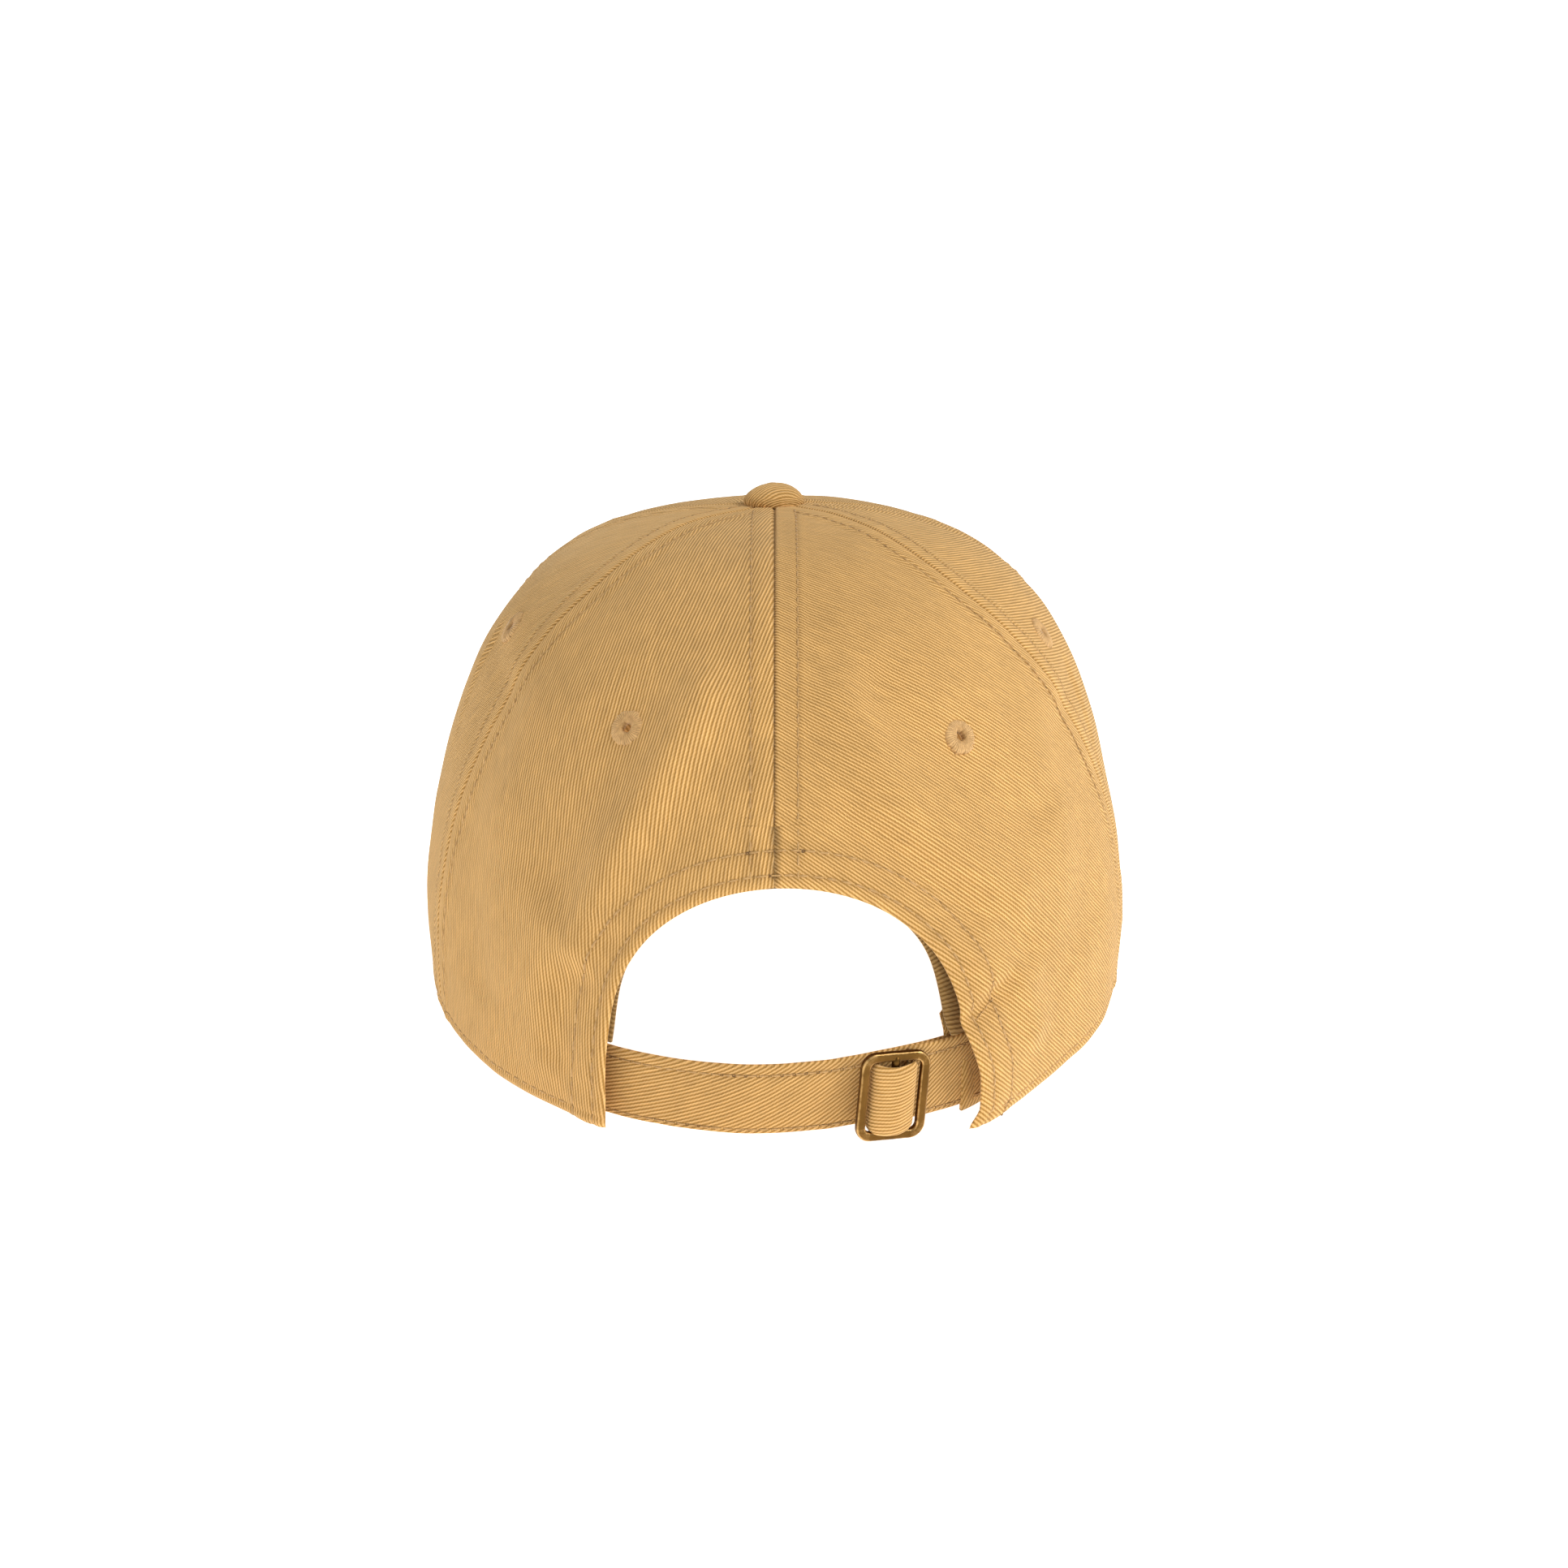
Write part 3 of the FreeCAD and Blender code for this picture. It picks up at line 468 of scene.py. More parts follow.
def ring_tube(rows, columns):
    """Faces of a tube of rings that runs back into itself."""
    return [(j * columns + i, (j + 1) % rows * columns + i,
             (j + 1) % rows * columns + (i + 1) % columns, j * columns + (i + 1) % columns)
            for j in range(rows) for i in range(columns)]


def cloth_piece(name, outer, inner, faces, material, maps, tones=None):
    """Closed sheet between an outer and an inner set of points, joined round its edges."""
    count = len(outer)
    border = {}
    for face in faces:
        for a, b in zip(face, face[1:] + face[:1]):
            if border.pop((b, a), None) is None:
                border[(a, b)] = True
    closed = list(faces) + [tuple(i + count for i in reversed(face)) for face in faces]
    closed += [(b, a, a + count, b + count) for a, b in border]
    tones = list(tones or [1.0] * count)
    return new_piece(name, outer + inner, closed, material, list(maps) * 2, tones * 2)


def turned(u, v, grain):
    """A flat-pattern place, turned so that the weave's lines run along its second number."""
    angle = math.radians(grain)
    return (u * math.sin(angle) - v * math.cos(angle), u * math.cos(angle) + v * math.sin(angle))


def finish_piece(piece, body, node=None):
    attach(piece, body)
    if node:
        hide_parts(node)


def finish_sheet(piece, body, node, size, area):
    finish_piece(piece, body, node)
    width, length = size
    area = min(area, width * length)


def quad_area(points, faces):
    total = 0.0
    for face in faces:
        a, b, c = points[face[0]], points[face[1]], points[face[2]]
        total += (b - a).cross(c - a).length / 2
        if len(face) == 4:
            d = points[face[3]]
            total += (c - a).cross(d - a).length / 2
    return total


# ---- materials ----
def linear(code):
    """Linear colour from an sRGB hex code."""
    parts = [int(code[i:i + 2], 16) / 255 for i in (1, 3, 5)]
    return tuple(p / 12.92 if p <= 0.04045 else ((p + 0.055) / 1.055) ** 2.4
                 for p in parts) + (1.0,)


def add_node(tree, kind, inputs=None, **settings):
    """Adds a node, sets it, and links or fills its sockets: a node given as a value is linked
    by its first output, and a (node, output) pair by that output."""
    made = tree.nodes.new("ShaderNode" + kind)
    for name, value in settings.items():
        setattr(made, name, value)
    for socket, value in (inputs or {}).items():
        if isinstance(value, bpy.types.Node):
            tree.links.new(value.outputs[0], made.inputs[socket])
        elif isinstance(value, tuple) and isinstance(value[0], bpy.types.Node):
            tree.links.new(value[0].outputs[value[1]], made.inputs[socket])
        else:
            made.inputs[socket].default_value = value
    return made


def new_material(name):
    material = bpy.data.materials.new(name)
    material.use_nodes = True
    material.node_tree.nodes.clear()
    return material, material.node_tree


def close_material(tree, shader):
    add_node(tree, "OutputMaterial", {"Surface": shader})


def blend(tree, share, first, second):
    """Mixes two colours, each an sRGB hex code or a node's output."""
    ends = [linear(end) if isinstance(end, str) else end for end in (first, second)]
    return add_node(tree, "Mix", {"Factor": share, 6: ends[0], 7: ends[1]}, data_type="RGBA")


def spread(tree, value, low, high, to_low, to_high):
    """Stretches the values from low to high over the range from to_low to to_high."""
    return add_node(tree, "MapRange", {"Value": value, "From Min": low, "From Max": high,
                                       "To Min": to_low, "To Max": to_high})


def grain_of(tree, scale, detail, **inputs):
    """Noise through the solid stuff of a piece."""
    spot = add_node(tree, "TexCoord")
    return add_node(tree, "TexNoise", {"Vector": (spot, "Object"), "Scale": scale,
                                       "Detail": detail, **inputs})


def roughen(tree, height, strength, distance):
    return add_node(tree, "Bump", {"Height": height, "Strength": strength,
                                   "Distance": distance * MM})


def combine(tree, operation, first, second, **settings):
    return add_node(tree, "Math", {0: first, 1: second}, operation=operation, **settings)


def point_tone(tree):
    """The lightness that a piece's maker stored at each of its points."""
    return add_node(tree, "Attribute", attribute_name="tone")


WAVE_UNIT = 0.31416          # a wave texture of this scale has one band per unit of length
TWILL_PITCH = 0.80           # real cotton twill lines lie 0.7 mm apart; drawn coarser to show


def cotton_twill(name, ridge, groove, pitch=TWILL_PITCH, depth=0.16, rough=0.92):
    """Washed cotton twill, piece-dyed: slanted raised lines with grooves between them painted
    darker as shade, uneven yarns that make single lines lighter or darker, a matt face with a
    soft fuzz that catches light at the edges, and paler cloth where washing has rubbed the folds."""
    material, tree = new_material(name)
    cloth = add_node(tree, "UVMap", uv_map="cloth")
    lines = add_node(tree, "TexWave", {"Vector": cloth, "Scale": WAVE_UNIT / pitch, "Distortion": 0.9,
                                       "Detail": 2.0, "Detail Scale": 0.6,
                                       "Detail Roughness": 0.6}, bands_direction="X")
    yarn_place = add_node(tree, "Mapping", {"Vector": cloth,
                                            "Scale": (1.0 / pitch, 1.0 / (9 * pitch), 1.0)})
    yarn = add_node(tree, "TexNoise", {"Vector": yarn_place, "Scale": 1.0, "Detail": 2.0,
                                       "Roughness": 0.7})
    float_place = add_node(tree, "Mapping", {"Vector": cloth, "Rotation": (0, 0, 0.9),
                                             "Scale": (1.0, 1.0, 1.0)})
    floats = add_node(tree, "TexWave", {"Vector": float_place, "Scale": WAVE_UNIT / (pitch * 0.8),
                                        "Distortion": 3.0, "Detail": 1.0, "Detail Scale": 1.6},
                      bands_direction="X")
    blotch = add_node(tree, "TexNoise", {"Vector": cloth, "Scale": 0.045, "Detail": 5.0,
                                         "Roughness": 0.62})
    ramp = spread(tree, (lines, "Fac"), 0.10, 0.75, 0.0, 1.0)
    thread = spread(tree, (floats, "Fac"), 0.0, 1.0, -0.16, 0.10)
    woven = combine(tree, "ADD", ramp, thread, use_clamp=True)
    # painted shade: the weave's low grooves take the darker colour, following the same heights as the
    # bump
    colour = blend(tree, woven, groove, ridge)
    yarn_gain = spread(tree, (yarn, "Fac"), 0.3, 0.7, 0.86, 1.13)
    blotch_gain = spread(tree, (blotch, "Fac"), 0.3, 0.7, 0.93, 1.06)
    gain = combine(tree, "MULTIPLY", yarn_gain, blotch_gain)
    gain = combine(tree, "MULTIPLY", gain, (point_tone(tree), "Fac"))
    shade = add_node(tree, "VectorMath", {0: (colour, 2), "Scale": gain}, operation="SCALE")
    height = combine(tree, "ADD", woven, (yarn, "Fac"))
    bump = roughen(tree, height, 1.0, depth)
    shader = add_node(tree, "BsdfPrincipled", {
        "Base Color": (shade, 0), "Normal": (bump, 0), "Roughness": rough, "IOR": 1.45,
        "Specular IOR Level": 0.25, "Sheen Weight": 0.35, "Sheen Roughness": 0.5,
        "Sheen Tint": linear("#f6dcae")})
    close_material(tree, shader)
    return material


def sewing_thread(name, light, dark):
    """Spun polyester thread, twisted from three plies: fine slanting ribs with a mild gloss."""
    material, tree = new_material(name)
    spot = add_node(tree, "TexCoord")
    scaled = add_node(tree, "Mapping", {"Vector": (spot, "Object"), "Scale": (1400, 1400, 1400)})
    ply = add_node(tree, "TexNoise", {"Vector": scaled, "Scale": 1.0, "Detail": 2.0})
    colour = blend(tree, (ply, "Fac"), dark, light)
    shade = add_node(tree, "VectorMath", {0: (colour, 2), "Scale": (point_tone(tree), "Fac")},
                     operation="SCALE")
    bump = roughen(tree, (ply, "Fac"), 0.5, 0.05)
    shader = add_node(tree, "BsdfPrincipled", {
        "Base Color": (shade, 0), "Normal": (bump, 0), "Roughness": 0.62, "IOR": 1.5,
        "Sheen Weight": 0.15, "Sheen Roughness": 0.4})
    close_material(tree, shader)
    return material


def antique_brass(name):
    """Die-cast zinc plated with brass, darkened and tumbled: brown in the flats, rubbed back to
    yellow metal along the edges and corners, with a soft uneven shine."""
    material, tree = new_material(name)
    grain = grain_of(tree, 900.0, 5.0, Roughness=0.65)
    cloudy = grain_of(tree, 260.0, 4.0)
    worn = combine(tree, "MULTIPLY", (point_tone(tree), "Fac"), (grain, "Fac"))
    worn = spread(tree, worn, 0.18, 0.62, 0.0, 1.0)
    patina = blend(tree, (cloudy, "Fac"), "#463013", "#7d5a2b")
    colour = blend(tree, worn, (patina, 2), "#cda569")
    rough = spread(tree, (grain, "Fac"), 0.3, 0.7, 0.30, 0.50)
    bump = roughen(tree, (grain, "Fac"), 0.35, 0.05)
    shader = add_node(tree, "BsdfPrincipled", {
        "Base Color": (colour, 2), "Normal": (bump, 0), "Roughness": (rough, 0), "Metallic": 1.0})
    close_material(tree, shader)
    return material


def plated_steel(name):
    """Nickel-plated steel, pressed: cool grey with fine rings left by the press."""
    material, tree = new_material(name)
    grain = grain_of(tree, 700.0, 3.0)
    rough = spread(tree, (grain, "Fac"), 0.0, 1.0, 0.25, 0.45)
    bump = roughen(tree, (grain, "Fac"), 0.2, 0.03)
    shader = add_node(tree, "BsdfPrincipled", {
        "Base Color": linear("#b9b6ae"), "Roughness": (rough, 0), "Metallic": 1.0,
        "Normal": (bump, 0)})
    close_material(tree, shader)
    return material


def moulded_plastic(name):
    """Polyethylene sheet, extruded: waxy. Its colour is near the cloth's, for the board's ends
    show a little past the cloth at the visor's rear corners."""
    material, tree = new_material(name)
    grain = grain_of(tree, 120.0, 4.0)
    colour = blend(tree, (grain, "Fac"), "#a1793f", "#b58b4d")
    shader = add_node(tree, "BsdfPrincipled", {"Base Color": (colour, 2), "Roughness": 0.45,
                                               "IOR": 1.51})
    close_material(tree, shader)
    return material


def needled_felt(name):
    """Needled polyester felt: short tangled fibres, very matt, off-white."""
    material, tree = new_material(name)
    fibre = grain_of(tree, 900.0, 6.0, Distortion=1.5)
    colour = blend(tree, (fibre, "Fac"), "#c9c2b2", "#efe9dc")
    bump = roughen(tree, (fibre, "Fac"), 0.8, 0.2)
    shader = add_node(tree, "BsdfPrincipled", {"Base Color": (colour, 2), "Roughness": 0.98,
                                               "Normal": (bump, 0), "Sheen Weight": 0.3})
    close_material(tree, shader)
    return material


TWILL = cotton_twill("washed_cotton_twill", "#deb070", "#a47839")
LINING_TWILL = cotton_twill("sweatband_cotton_twill", "#d3a768", "#9f7638", pitch=1.0)
TAPE_TWILL = cotton_twill("seam_tape_cotton_twill", "#d0a364", "#a2773a", pitch=1.1, depth=0.2)
THREAD = sewing_thread("tonal_sewing_thread", "#cfa468", "#94703a")
EYELET_THREAD = sewing_thread("tonal_embroidery_thread", "#e2b678", "#946d38")
# painted shade: a dark brown that stands for the shadow inside each needle hole
NEEDLE_HOLE_PAINTED_SHADE = sewing_thread("needle_hole_painted_shade", "#7d5724", "#5c3d15")
BRASS = antique_brass("antique_brass_plate")
STEEL = plated_steel("nickel_plated_steel")
BOARD = moulded_plastic("polyethylene_board")
FELT = needled_felt("needled_felt")


# ---- stitches ----
THREAD_SIDES = 6
THREAD_SECTIONS = 6
HOLE_SIDES = 8
HOLE_SIZE = (0.42, 0.33)     # half its length along the row and half its width
HOLE_DEPTH = 0.25
HOLE_SKIN = 0.06


def sew(name, rows, body, length=2.35, gap=0.75, radius=0.26, node=None):
    """Rows of stitches: each is a short thread that dips into the cloth at both ends, with the
    needle's hole between it and the next, a shallow pit coloured dark as painted shade. A row
    is a list of (point, outward) pairs."""
    vertices, faces, holes = [], [], []
    for row in rows:
        reach = lengths_along([point for point, _ in row])

        def spot(distance):
            k = 0
            while k < len(reach) - 2 and reach[k + 1] < distance:
                k += 1
            part = (distance - reach[k]) / max(reach[k + 1] - reach[k], 1e-9)
            point = row[k][0].lerp(row[k + 1][0], part)
            return point, row[k][1].lerp(row[k + 1][1], part).normalized()

        count = int(reach[-1] / (length + gap))
        for n in range(count):
            start = (n + 0.1) * (length + gap)
            along = (spot(start + length)[0] - spot(start)[0]).normalized()
            base = len(vertices)
            for s in range(THREAD_SECTIONS):
                share = s / (THREAD_SECTIONS - 1)
                point, outward = spot(start + length * share)
                across = along.cross(outward).normalized()
                swell = math.sin(math.pi * (0.08 + 0.84 * share)) ** 0.45
                lift = radius * 1.5 * swell - radius * 1.15
                for k in range(THREAD_SIDES):
                    angle = 2 * math.pi * (k + 0.5) / THREAD_SIDES
                    vertices.append(point + outward * (lift + radius * 0.8 * math.sin(angle) * swell)
                                    + across * (radius * math.cos(angle) * swell))
            faces += [face[::-1] for face in tube(THREAD_SECTIONS, THREAD_SIDES, base)]
            point, outward = spot(start + length + gap / 2)
            across = along.cross(outward).normalized()
            base = len(vertices)
            for k in range(HOLE_SIDES):
                angle = 2 * math.pi * k / HOLE_SIDES
                vertices.append(point + outward * 0.03
                                + along * (HOLE_SIZE[0] * math.cos(angle))
                                - across * (HOLE_SIZE[1] * math.sin(angle)))
            vertices.append(point - outward * HOLE_DEPTH)
            vertices.extend(v - outward * HOLE_SKIN for v in vertices[base:])
            holes.extend(len(faces) + k for k in range(2 * HOLE_SIDES))
            bottom, back = base + HOLE_SIDES, base + HOLE_SIDES + 1
            faces.extend((base + k, base + (k + 1) % HOLE_SIDES, bottom)
                         for k in range(HOLE_SIDES))
            faces.extend((back + (k + 1) % HOLE_SIDES, back + k, back + HOLE_SIDES)
                         for k in range(HOLE_SIDES))
    piece = new_piece(name, vertices, faces, THREAD)
    # the needle holes take the dark painted-shade colour
    piece.data.materials.append(NEEDLE_HOLE_PAINTED_SHADE)
    for index in holes:
        piece.data.polygons[index].material_index = 1
    finish_piece(piece, body, node)


# ---- crown panels ----
RIM_STEPS = (0.0, 0.3, 0.7, 1.2, 1.8, 2.4, 3.0, 3.8, 4.9, 6.2, 7.6)
SEAM_STEPS = (0.0, 0.3, 0.6, 1.0, 1.5, 2.2, 3.1, 4.0, 4.6, 5.1, 5.6, 6.2, 7.0, 8.0, 9.2)
ARCH_STEPS = (0.0, 0.3, 0.7, 1.2, 1.8, 2.3, 2.7, 3.2, 4.2, 5.4, 6.4, 7.0, 7.5, 8.0, 9.0, 10.4)
PANEL_ROWS = 116
CORNER_ROW = 62              # row of the back panels that meets the back seam at the arch's top
MIDDLE_COLUMNS = 42
FULL_STEPS_WIDTH = 42.0      # a narrower panel has its steps beside the seams scaled down
EYELET_OPENING = 2.5         # radius of the hole that the panel's mesh leaves under an eyelet


def seam_border(turn):
    """Turn and rise of each row's end on a seam, close together near the rim."""
    def line(rise):
        return crown_point(seam_turn(turn, rise), rise)

    near = [rise_at_height(turn, line(0).z + step) for step in RIM_STEPS]
    rest = evenly(line, PANEL_ROWS - len(near) + 1, near[-1], TIP_RISE)
    rises = near + rest[1:]
    return [(seam_turn(turn, rise), rise) for rise in rises]


def arch_border(side, grow):
    """Turn and rise of each row's end round the opening, then up the back seam."""
    length = ARCH_SPRING + (ARCH_HALF_WIDTH + ARCH_TOP - ARCH_SPRING) / 2 * math.pi / 2
    near = [step / length for step in RIM_STEPS]
    count = CORNER_ROW + 1 - len(near)
    shares = near + [mix(near[-1], 1.0, (i + 1) / count) for i in range(count)]
    border = [on_back(*arch_edge(side, share, grow)) for share in shares]
    top = border[-1][1]
    rest = evenly(lambda rise: crown_point(0, rise), PANEL_ROWS - CORNER_ROW, top, TIP_RISE)
    return border + [(0.0, rise) for rise in rest[1:]]


def flat_pattern(panel):
    """Function from turn and rise to the panel's cut pattern, in millimetres from its middle."""
    start, end = PANELS[panel]
    steps, levels = 24, 40
    table = []
    for k in range(levels + 1):
        rise = TIP_RISE * k / levels
        left, right = seam_turn(start, rise), seam_turn(end, rise)
        row = lengths_along([crown_point(mix(left, right, i / steps), rise)
                             for i in range(steps + 1)])
        table.append([value - row[-1] / 2 for value in row])
    middle = (start + end) / 2
    heights = lengths_along([crown_point(middle, TIP_RISE * k / levels)
                             for k in range(levels + 1)])

    def pattern(turn, rise):
        level = min(max(rise / TIP_RISE, 0.0), 1.0) * levels
        k = min(int(level), levels - 1)
        left, right = seam_turn(start, rise), seam_turn(end, rise)
        across = min(max((turn - left) / (right - left), 0.0), 1.0) * steps
        i = min(int(across), steps - 1)
        low = mix(table[k][i], table[k][i + 1], across - i)
        high = mix(table[k + 1][i], table[k + 1][i + 1], across - i)
        return mix(low, high, level - k), mix(heights[k], heights[k + 1], level - k)

    widest = max(row[-1] - row[0] for row in table)
    return pattern, widest, heights[-1]


def crown_panel(panel):
    start, end = PANELS[panel]
    arch_side = {"back_left": -1, "back_right": 1}.get(panel, 0)
    left = arch_border(1, BAND_WIDTH) if arch_side > 0 else seam_border(start)
    right = arch_border(-1, BAND_WIDTH) if arch_side < 0 else seam_border(end)
    spots, faces = [], []
    columns = 2 * len(SEAM_STEPS) + MIDDLE_COLUMNS
    for (turn_a, rise_a), (turn_b, rise_b) in zip(left, right):
        samples = [crown_point(mix(turn_a, turn_b, i / 8), mix(rise_a, rise_b, i / 8))
                   for i in range(9)]
        width = lengths_along(samples)[-1]
        scale = min(1.0, width / FULL_STEPS_WIDTH) / width
        near = [step * scale for step in SEAM_STEPS]
        gap = (1 - 2 * near[-1]) / (MIDDLE_COLUMNS + 1)
        shares = near + [near[-1] + gap * (i + 1) for i in range(MIDDLE_COLUMNS)]
        shares += [1 - share for share in reversed(near)]
        spots += [(mix(turn_a, turn_b, s), mix(rise_a, rise_b, s)) for s in shares]
    faces += lattice(PANEL_ROWS, columns)
    if arch_side:
        strips = [arch_border(arch_side, step)[:CORNER_ROW + 1] for step in ARCH_STEPS]
        first = len(spots)
        wide = len(ARCH_STEPS)
        for j in range(CORNER_ROW + 1):
            spots += [strip[j] for strip in strips]

        def index(j, k):
            if k == wide:
                return j * columns + (0 if arch_side > 0 else columns - 1)
            return first + j * wide + k

        for j in range(CORNER_ROW):
            for k in range(wide):
                face = (index(j, k), index(j, k + 1), index(j + 1, k + 1), index(j + 1, k))
                faces.append(face if arch_side > 0 else face[::-1])
    pattern, widest, tallest = flat_pattern(panel)
    points = [crown_point(*spot) for spot in spots]
    centre = eyelet_centres[panel]
    opened = [face for face in faces
              if (sum((points[i] for i in face), Vector()) / 4 - centre).length
              > EYELET_OPENING - 0.2]
    for i in {i for face in opened for i in face}:
        away = points[i] - centre
        if away.length < EYELET_OPENING + 0.4:
            points[i] = centre + away.normalized() * EYELET_OPENING
    used = sorted({i for face in opened for i in face})
    number = {old: new for new, old in enumerate(used)}
    outer, inner, maps, tones = [], [], [], []
    for i in used:
        turn, rise = spots[i]
        outward = crown_outward(turn, rise)
        slow, fine, tone = relief(points[i], turn, rise)
        outer.append(points[i] + outward * (slow + fine))
        inner.append(points[i] + outward * (slow - PANEL_THICK))
        maps.append(turned(*pattern(turn, rise), GRAIN[panel]))
        tones.append(tone)
    opened = [tuple(number[i] for i in face) for face in opened]
    piece = cloth_piece("twill_panel_" + panel, outer, inner, opened, TWILL, maps, tones)
    finish_sheet(piece, "crown", "panel_" + panel,
                 (widest, tallest), quad_area([points[i] for i in used], opened))


def embroidered_eyelet(panel):
    """Ring of satin stitch round a punched hole: each thread is a rib from hole to rim."""
    turn, rise = EYELET_PLACES[panel]
    centre, outward = surface_at(turn, rise)
    along = (crown_point(turn + 0.5, rise) - crown_point(turn - 0.5, rise)).normalized()
    up = outward.cross(along)
    threads, part = 40, 6
    section = 16
    vertices, tones = [], []
    for i in range(threads * part):
        angle = 2 * math.pi * i / (threads * part)
        thread = i // part
        rib = math.sin(math.pi * ((i % part) + 0.5) / part) ** 0.5
        wild = noise.noise(Vector((thread * 0.9, len(panel) * 3.1, turn)))
        wide = EYELET_RADIUS + 0.35 + 0.5 * wild
        hole = EYELET_HOLE_RADIUS * (0.92 + 0.35 * noise.noise(Vector((thread * 0.35, 4, turn))))
        for k in range(section):
            roll = 2 * math.pi * k / section
            middle, half = (wide + hole) / 2, (wide - hole) / 2
            thick = (PANEL_THICK + 1.0) / 2
            reach = middle - half * signed_power(math.cos(roll), 0.75)
            lift = thick * signed_power(math.sin(roll), 0.8)
            lift *= 1 + 0.25 * rib - 0.30 * (reach - hole) / (wide - hole)
            spin = angle + 0.12 * (reach - hole) / (wide - hole)
            vertices.append(centre + along * (reach * math.cos(spin)) + up * (reach * math.sin(spin))
                            + outward * (lift - PANEL_THICK / 2 + 0.1))
            # painted shade: each thread's tone is darkest at its sides, between the threads, and
            # lightest along its crest
            tones.append(0.5 + 0.6 * rib)
    faces = ring_tube(threads * part, section)
    piece = new_piece("stitched_eyelet_" + panel, vertices, faces, EYELET_THREAD, None, tones)
    finish_piece(piece, "crown", "eyelet_" + panel)


# ---- bands that follow the crown ----
def crown_band(name, spots, rows, columns, depth, thick, material, grain, node, wave=0.0,
               tone=1.0, follow=0.9):
    """Sheet on the inside of the crown. spots is a list of (turn, rise), row by row."""
    outer, inner = [], []
    for turn, rise in spots:
        outward = crown_outward(turn, rise)
        point = crown_point(turn, rise)
        slow = relief(point, turn, rise)[0]
        deep = depth(turn) if callable(depth) else depth
        ripple = wave * noise.noise(point / 9.0)
        outer.append(point + outward * (slow * follow + ripple - deep))
        inner.append(point + outward * (slow * follow + ripple - deep - thick))
    faces = lattice(rows, columns)
    middle = rows // 2 * columns
    widths = lengths_along(outer[middle:middle + columns])
    heights = lengths_along(outer[columns // 2::columns])
    maps = [turned(widths[i], heights[j], grain) for j in range(rows) for i in range(columns)]
    piece = cloth_piece(name, outer, inner, faces, material, maps, [tone] * len(outer))
    area = quad_area(outer, faces)
    longest = max(widths[-1], area / heights[-1])
    cut = max(heights[-1], HEM_CUT)
    finish_sheet(piece, "crown", node, (longest, cut), area)


def seam_tape(seam):
    turn = SEAMS[seam]
    bottom = 32.2 if seam != "back" else ARCH_TOP + 9.5
    low = rise_at_height(turn, bottom + max(rim_height(turn), 0.0))
    high = 1 - TAPE_END / TIP_SPREAD
    spots = []
    rows, columns = 40, 9
    for j in range(rows):
        rise = mix(low, high, j / (rows - 1))
        spots += [(beside(turn, rise, TAPE_WIDTH * (i / (columns - 1) - 0.5)), rise)
                  for i in range(columns)]
    crown_band("tape_over_seam_" + seam, spots, rows, columns, PANEL_THICK + 0.2, 0.5, TAPE_TWILL,
               70.0, "seam_tape_" + seam, 0.25)


def arch_binding():
    """Band that finishes the opening inside. On the right it shows past the crown's edge. Its tone is
    darkened as painted shade.
    """
    rows, columns = 8, 121
    spots = []
    for j in range(rows):
        for i in range(columns):
            share = 2 * i / (columns - 1)
            side, along = (-1, share) if share <= 1 else (1, 2 - share)
            along = mix(0.25, 1.0, along)
            x, z = arch_edge(side, along, 0)
            show = -2.3 * bell(z - 29.0, 13.0) if side > 0 else -1.0 * bell(z - 26.0, 9.0)
            x, z = arch_edge(side, along, mix(0.7 + show, 8.0, j / (rows - 1)))
            spots.append(on_back(x, z))
    # painted shade: the tone of 0.55 darkens the whole binding
    crown_band("opening_binding", spots, rows, columns, PANEL_THICK + 0.35, 0.7, TAPE_TWILL, 80.0,
               "arch_binding", 0.1, 0.55, 0.15)


def round_band(start, end, low, high, rows, columns):
    spots = []
    for j in range(rows):
        for i in range(columns):
            turn = mix(start, end, i / (columns - 1))
            base = rim_height(turn)
            spots.append((turn, rise_at_height(turn, base + mix(low, high, j / (rows - 1)))))
    return spots


def sweatband_depth(turn):
    share = smooth_step((abs(near_turn(turn)) - 62.0) / 26.0)
    return mix(6.75, 3.6, share)


def sweatband():
    rows, columns = 9, 181
    spots = round_band(SWEATBAND_END, 360 - SWEATBAND_END, SWEATBAND_LIFT,
                       SWEATBAND_LIFT + SWEATBAND_HEIGHT, rows, columns)
    crown_band("folded_sweatband", spots, rows, columns, sweatband_depth, 0.8,
               LINING_TWILL, 55.0, "sweatband", 0.1)
    stitch_rows = []
    for height in (2.6, 29.0):
        row = []
        for i in range(160):
            turn = mix(SWEATBAND_END + 2, 358 - SWEATBAND_END, i / 159)
            rise = rise_at_height(turn, rim_height(turn) + height)
            outward = crown_outward(turn, rise)
            point = crown_point(turn, rise)
            slow = relief(point, turn, rise)[0] * 0.9 + 0.5 * noise.noise(point / 9.0)
            row.append((point + outward * (slow - sweatband_depth(turn) - 1.0), -outward))
        stitch_rows.append(row)
    sew("sweatband_stitches", stitch_rows, "crown")


def inner_bands():
    crown_band("front_felt", round_band(92, 268, 11.0, 29.0, 6, 61), 6, 61, 2.1, 1.2, FELT, 0.0,
               "sweatband_lining", 0.1)
    start = 180.0 - VISOR_HORN_TURN + 8.0
    crown_band("visor_cloth_turned_up", round_band(start, 360 - start, 0.4, 8.0, 5, 61), 5, 61,
               1.2, 0.6, TWILL, 45.0, "visor_seam_allowance", 0.1)
    for side, name in ((-1, "left"), (1, "right")):
        first, last = sorted((side * 80.0, side * 112.0))
        crown_band("hem_turned_up_" + name, round_band(first, last, 0.4, 9.0, 5, 25), 5, 25,
                   1.2, 0.6, TWILL, 45.0, "hem_tape_" + name, 0.1)


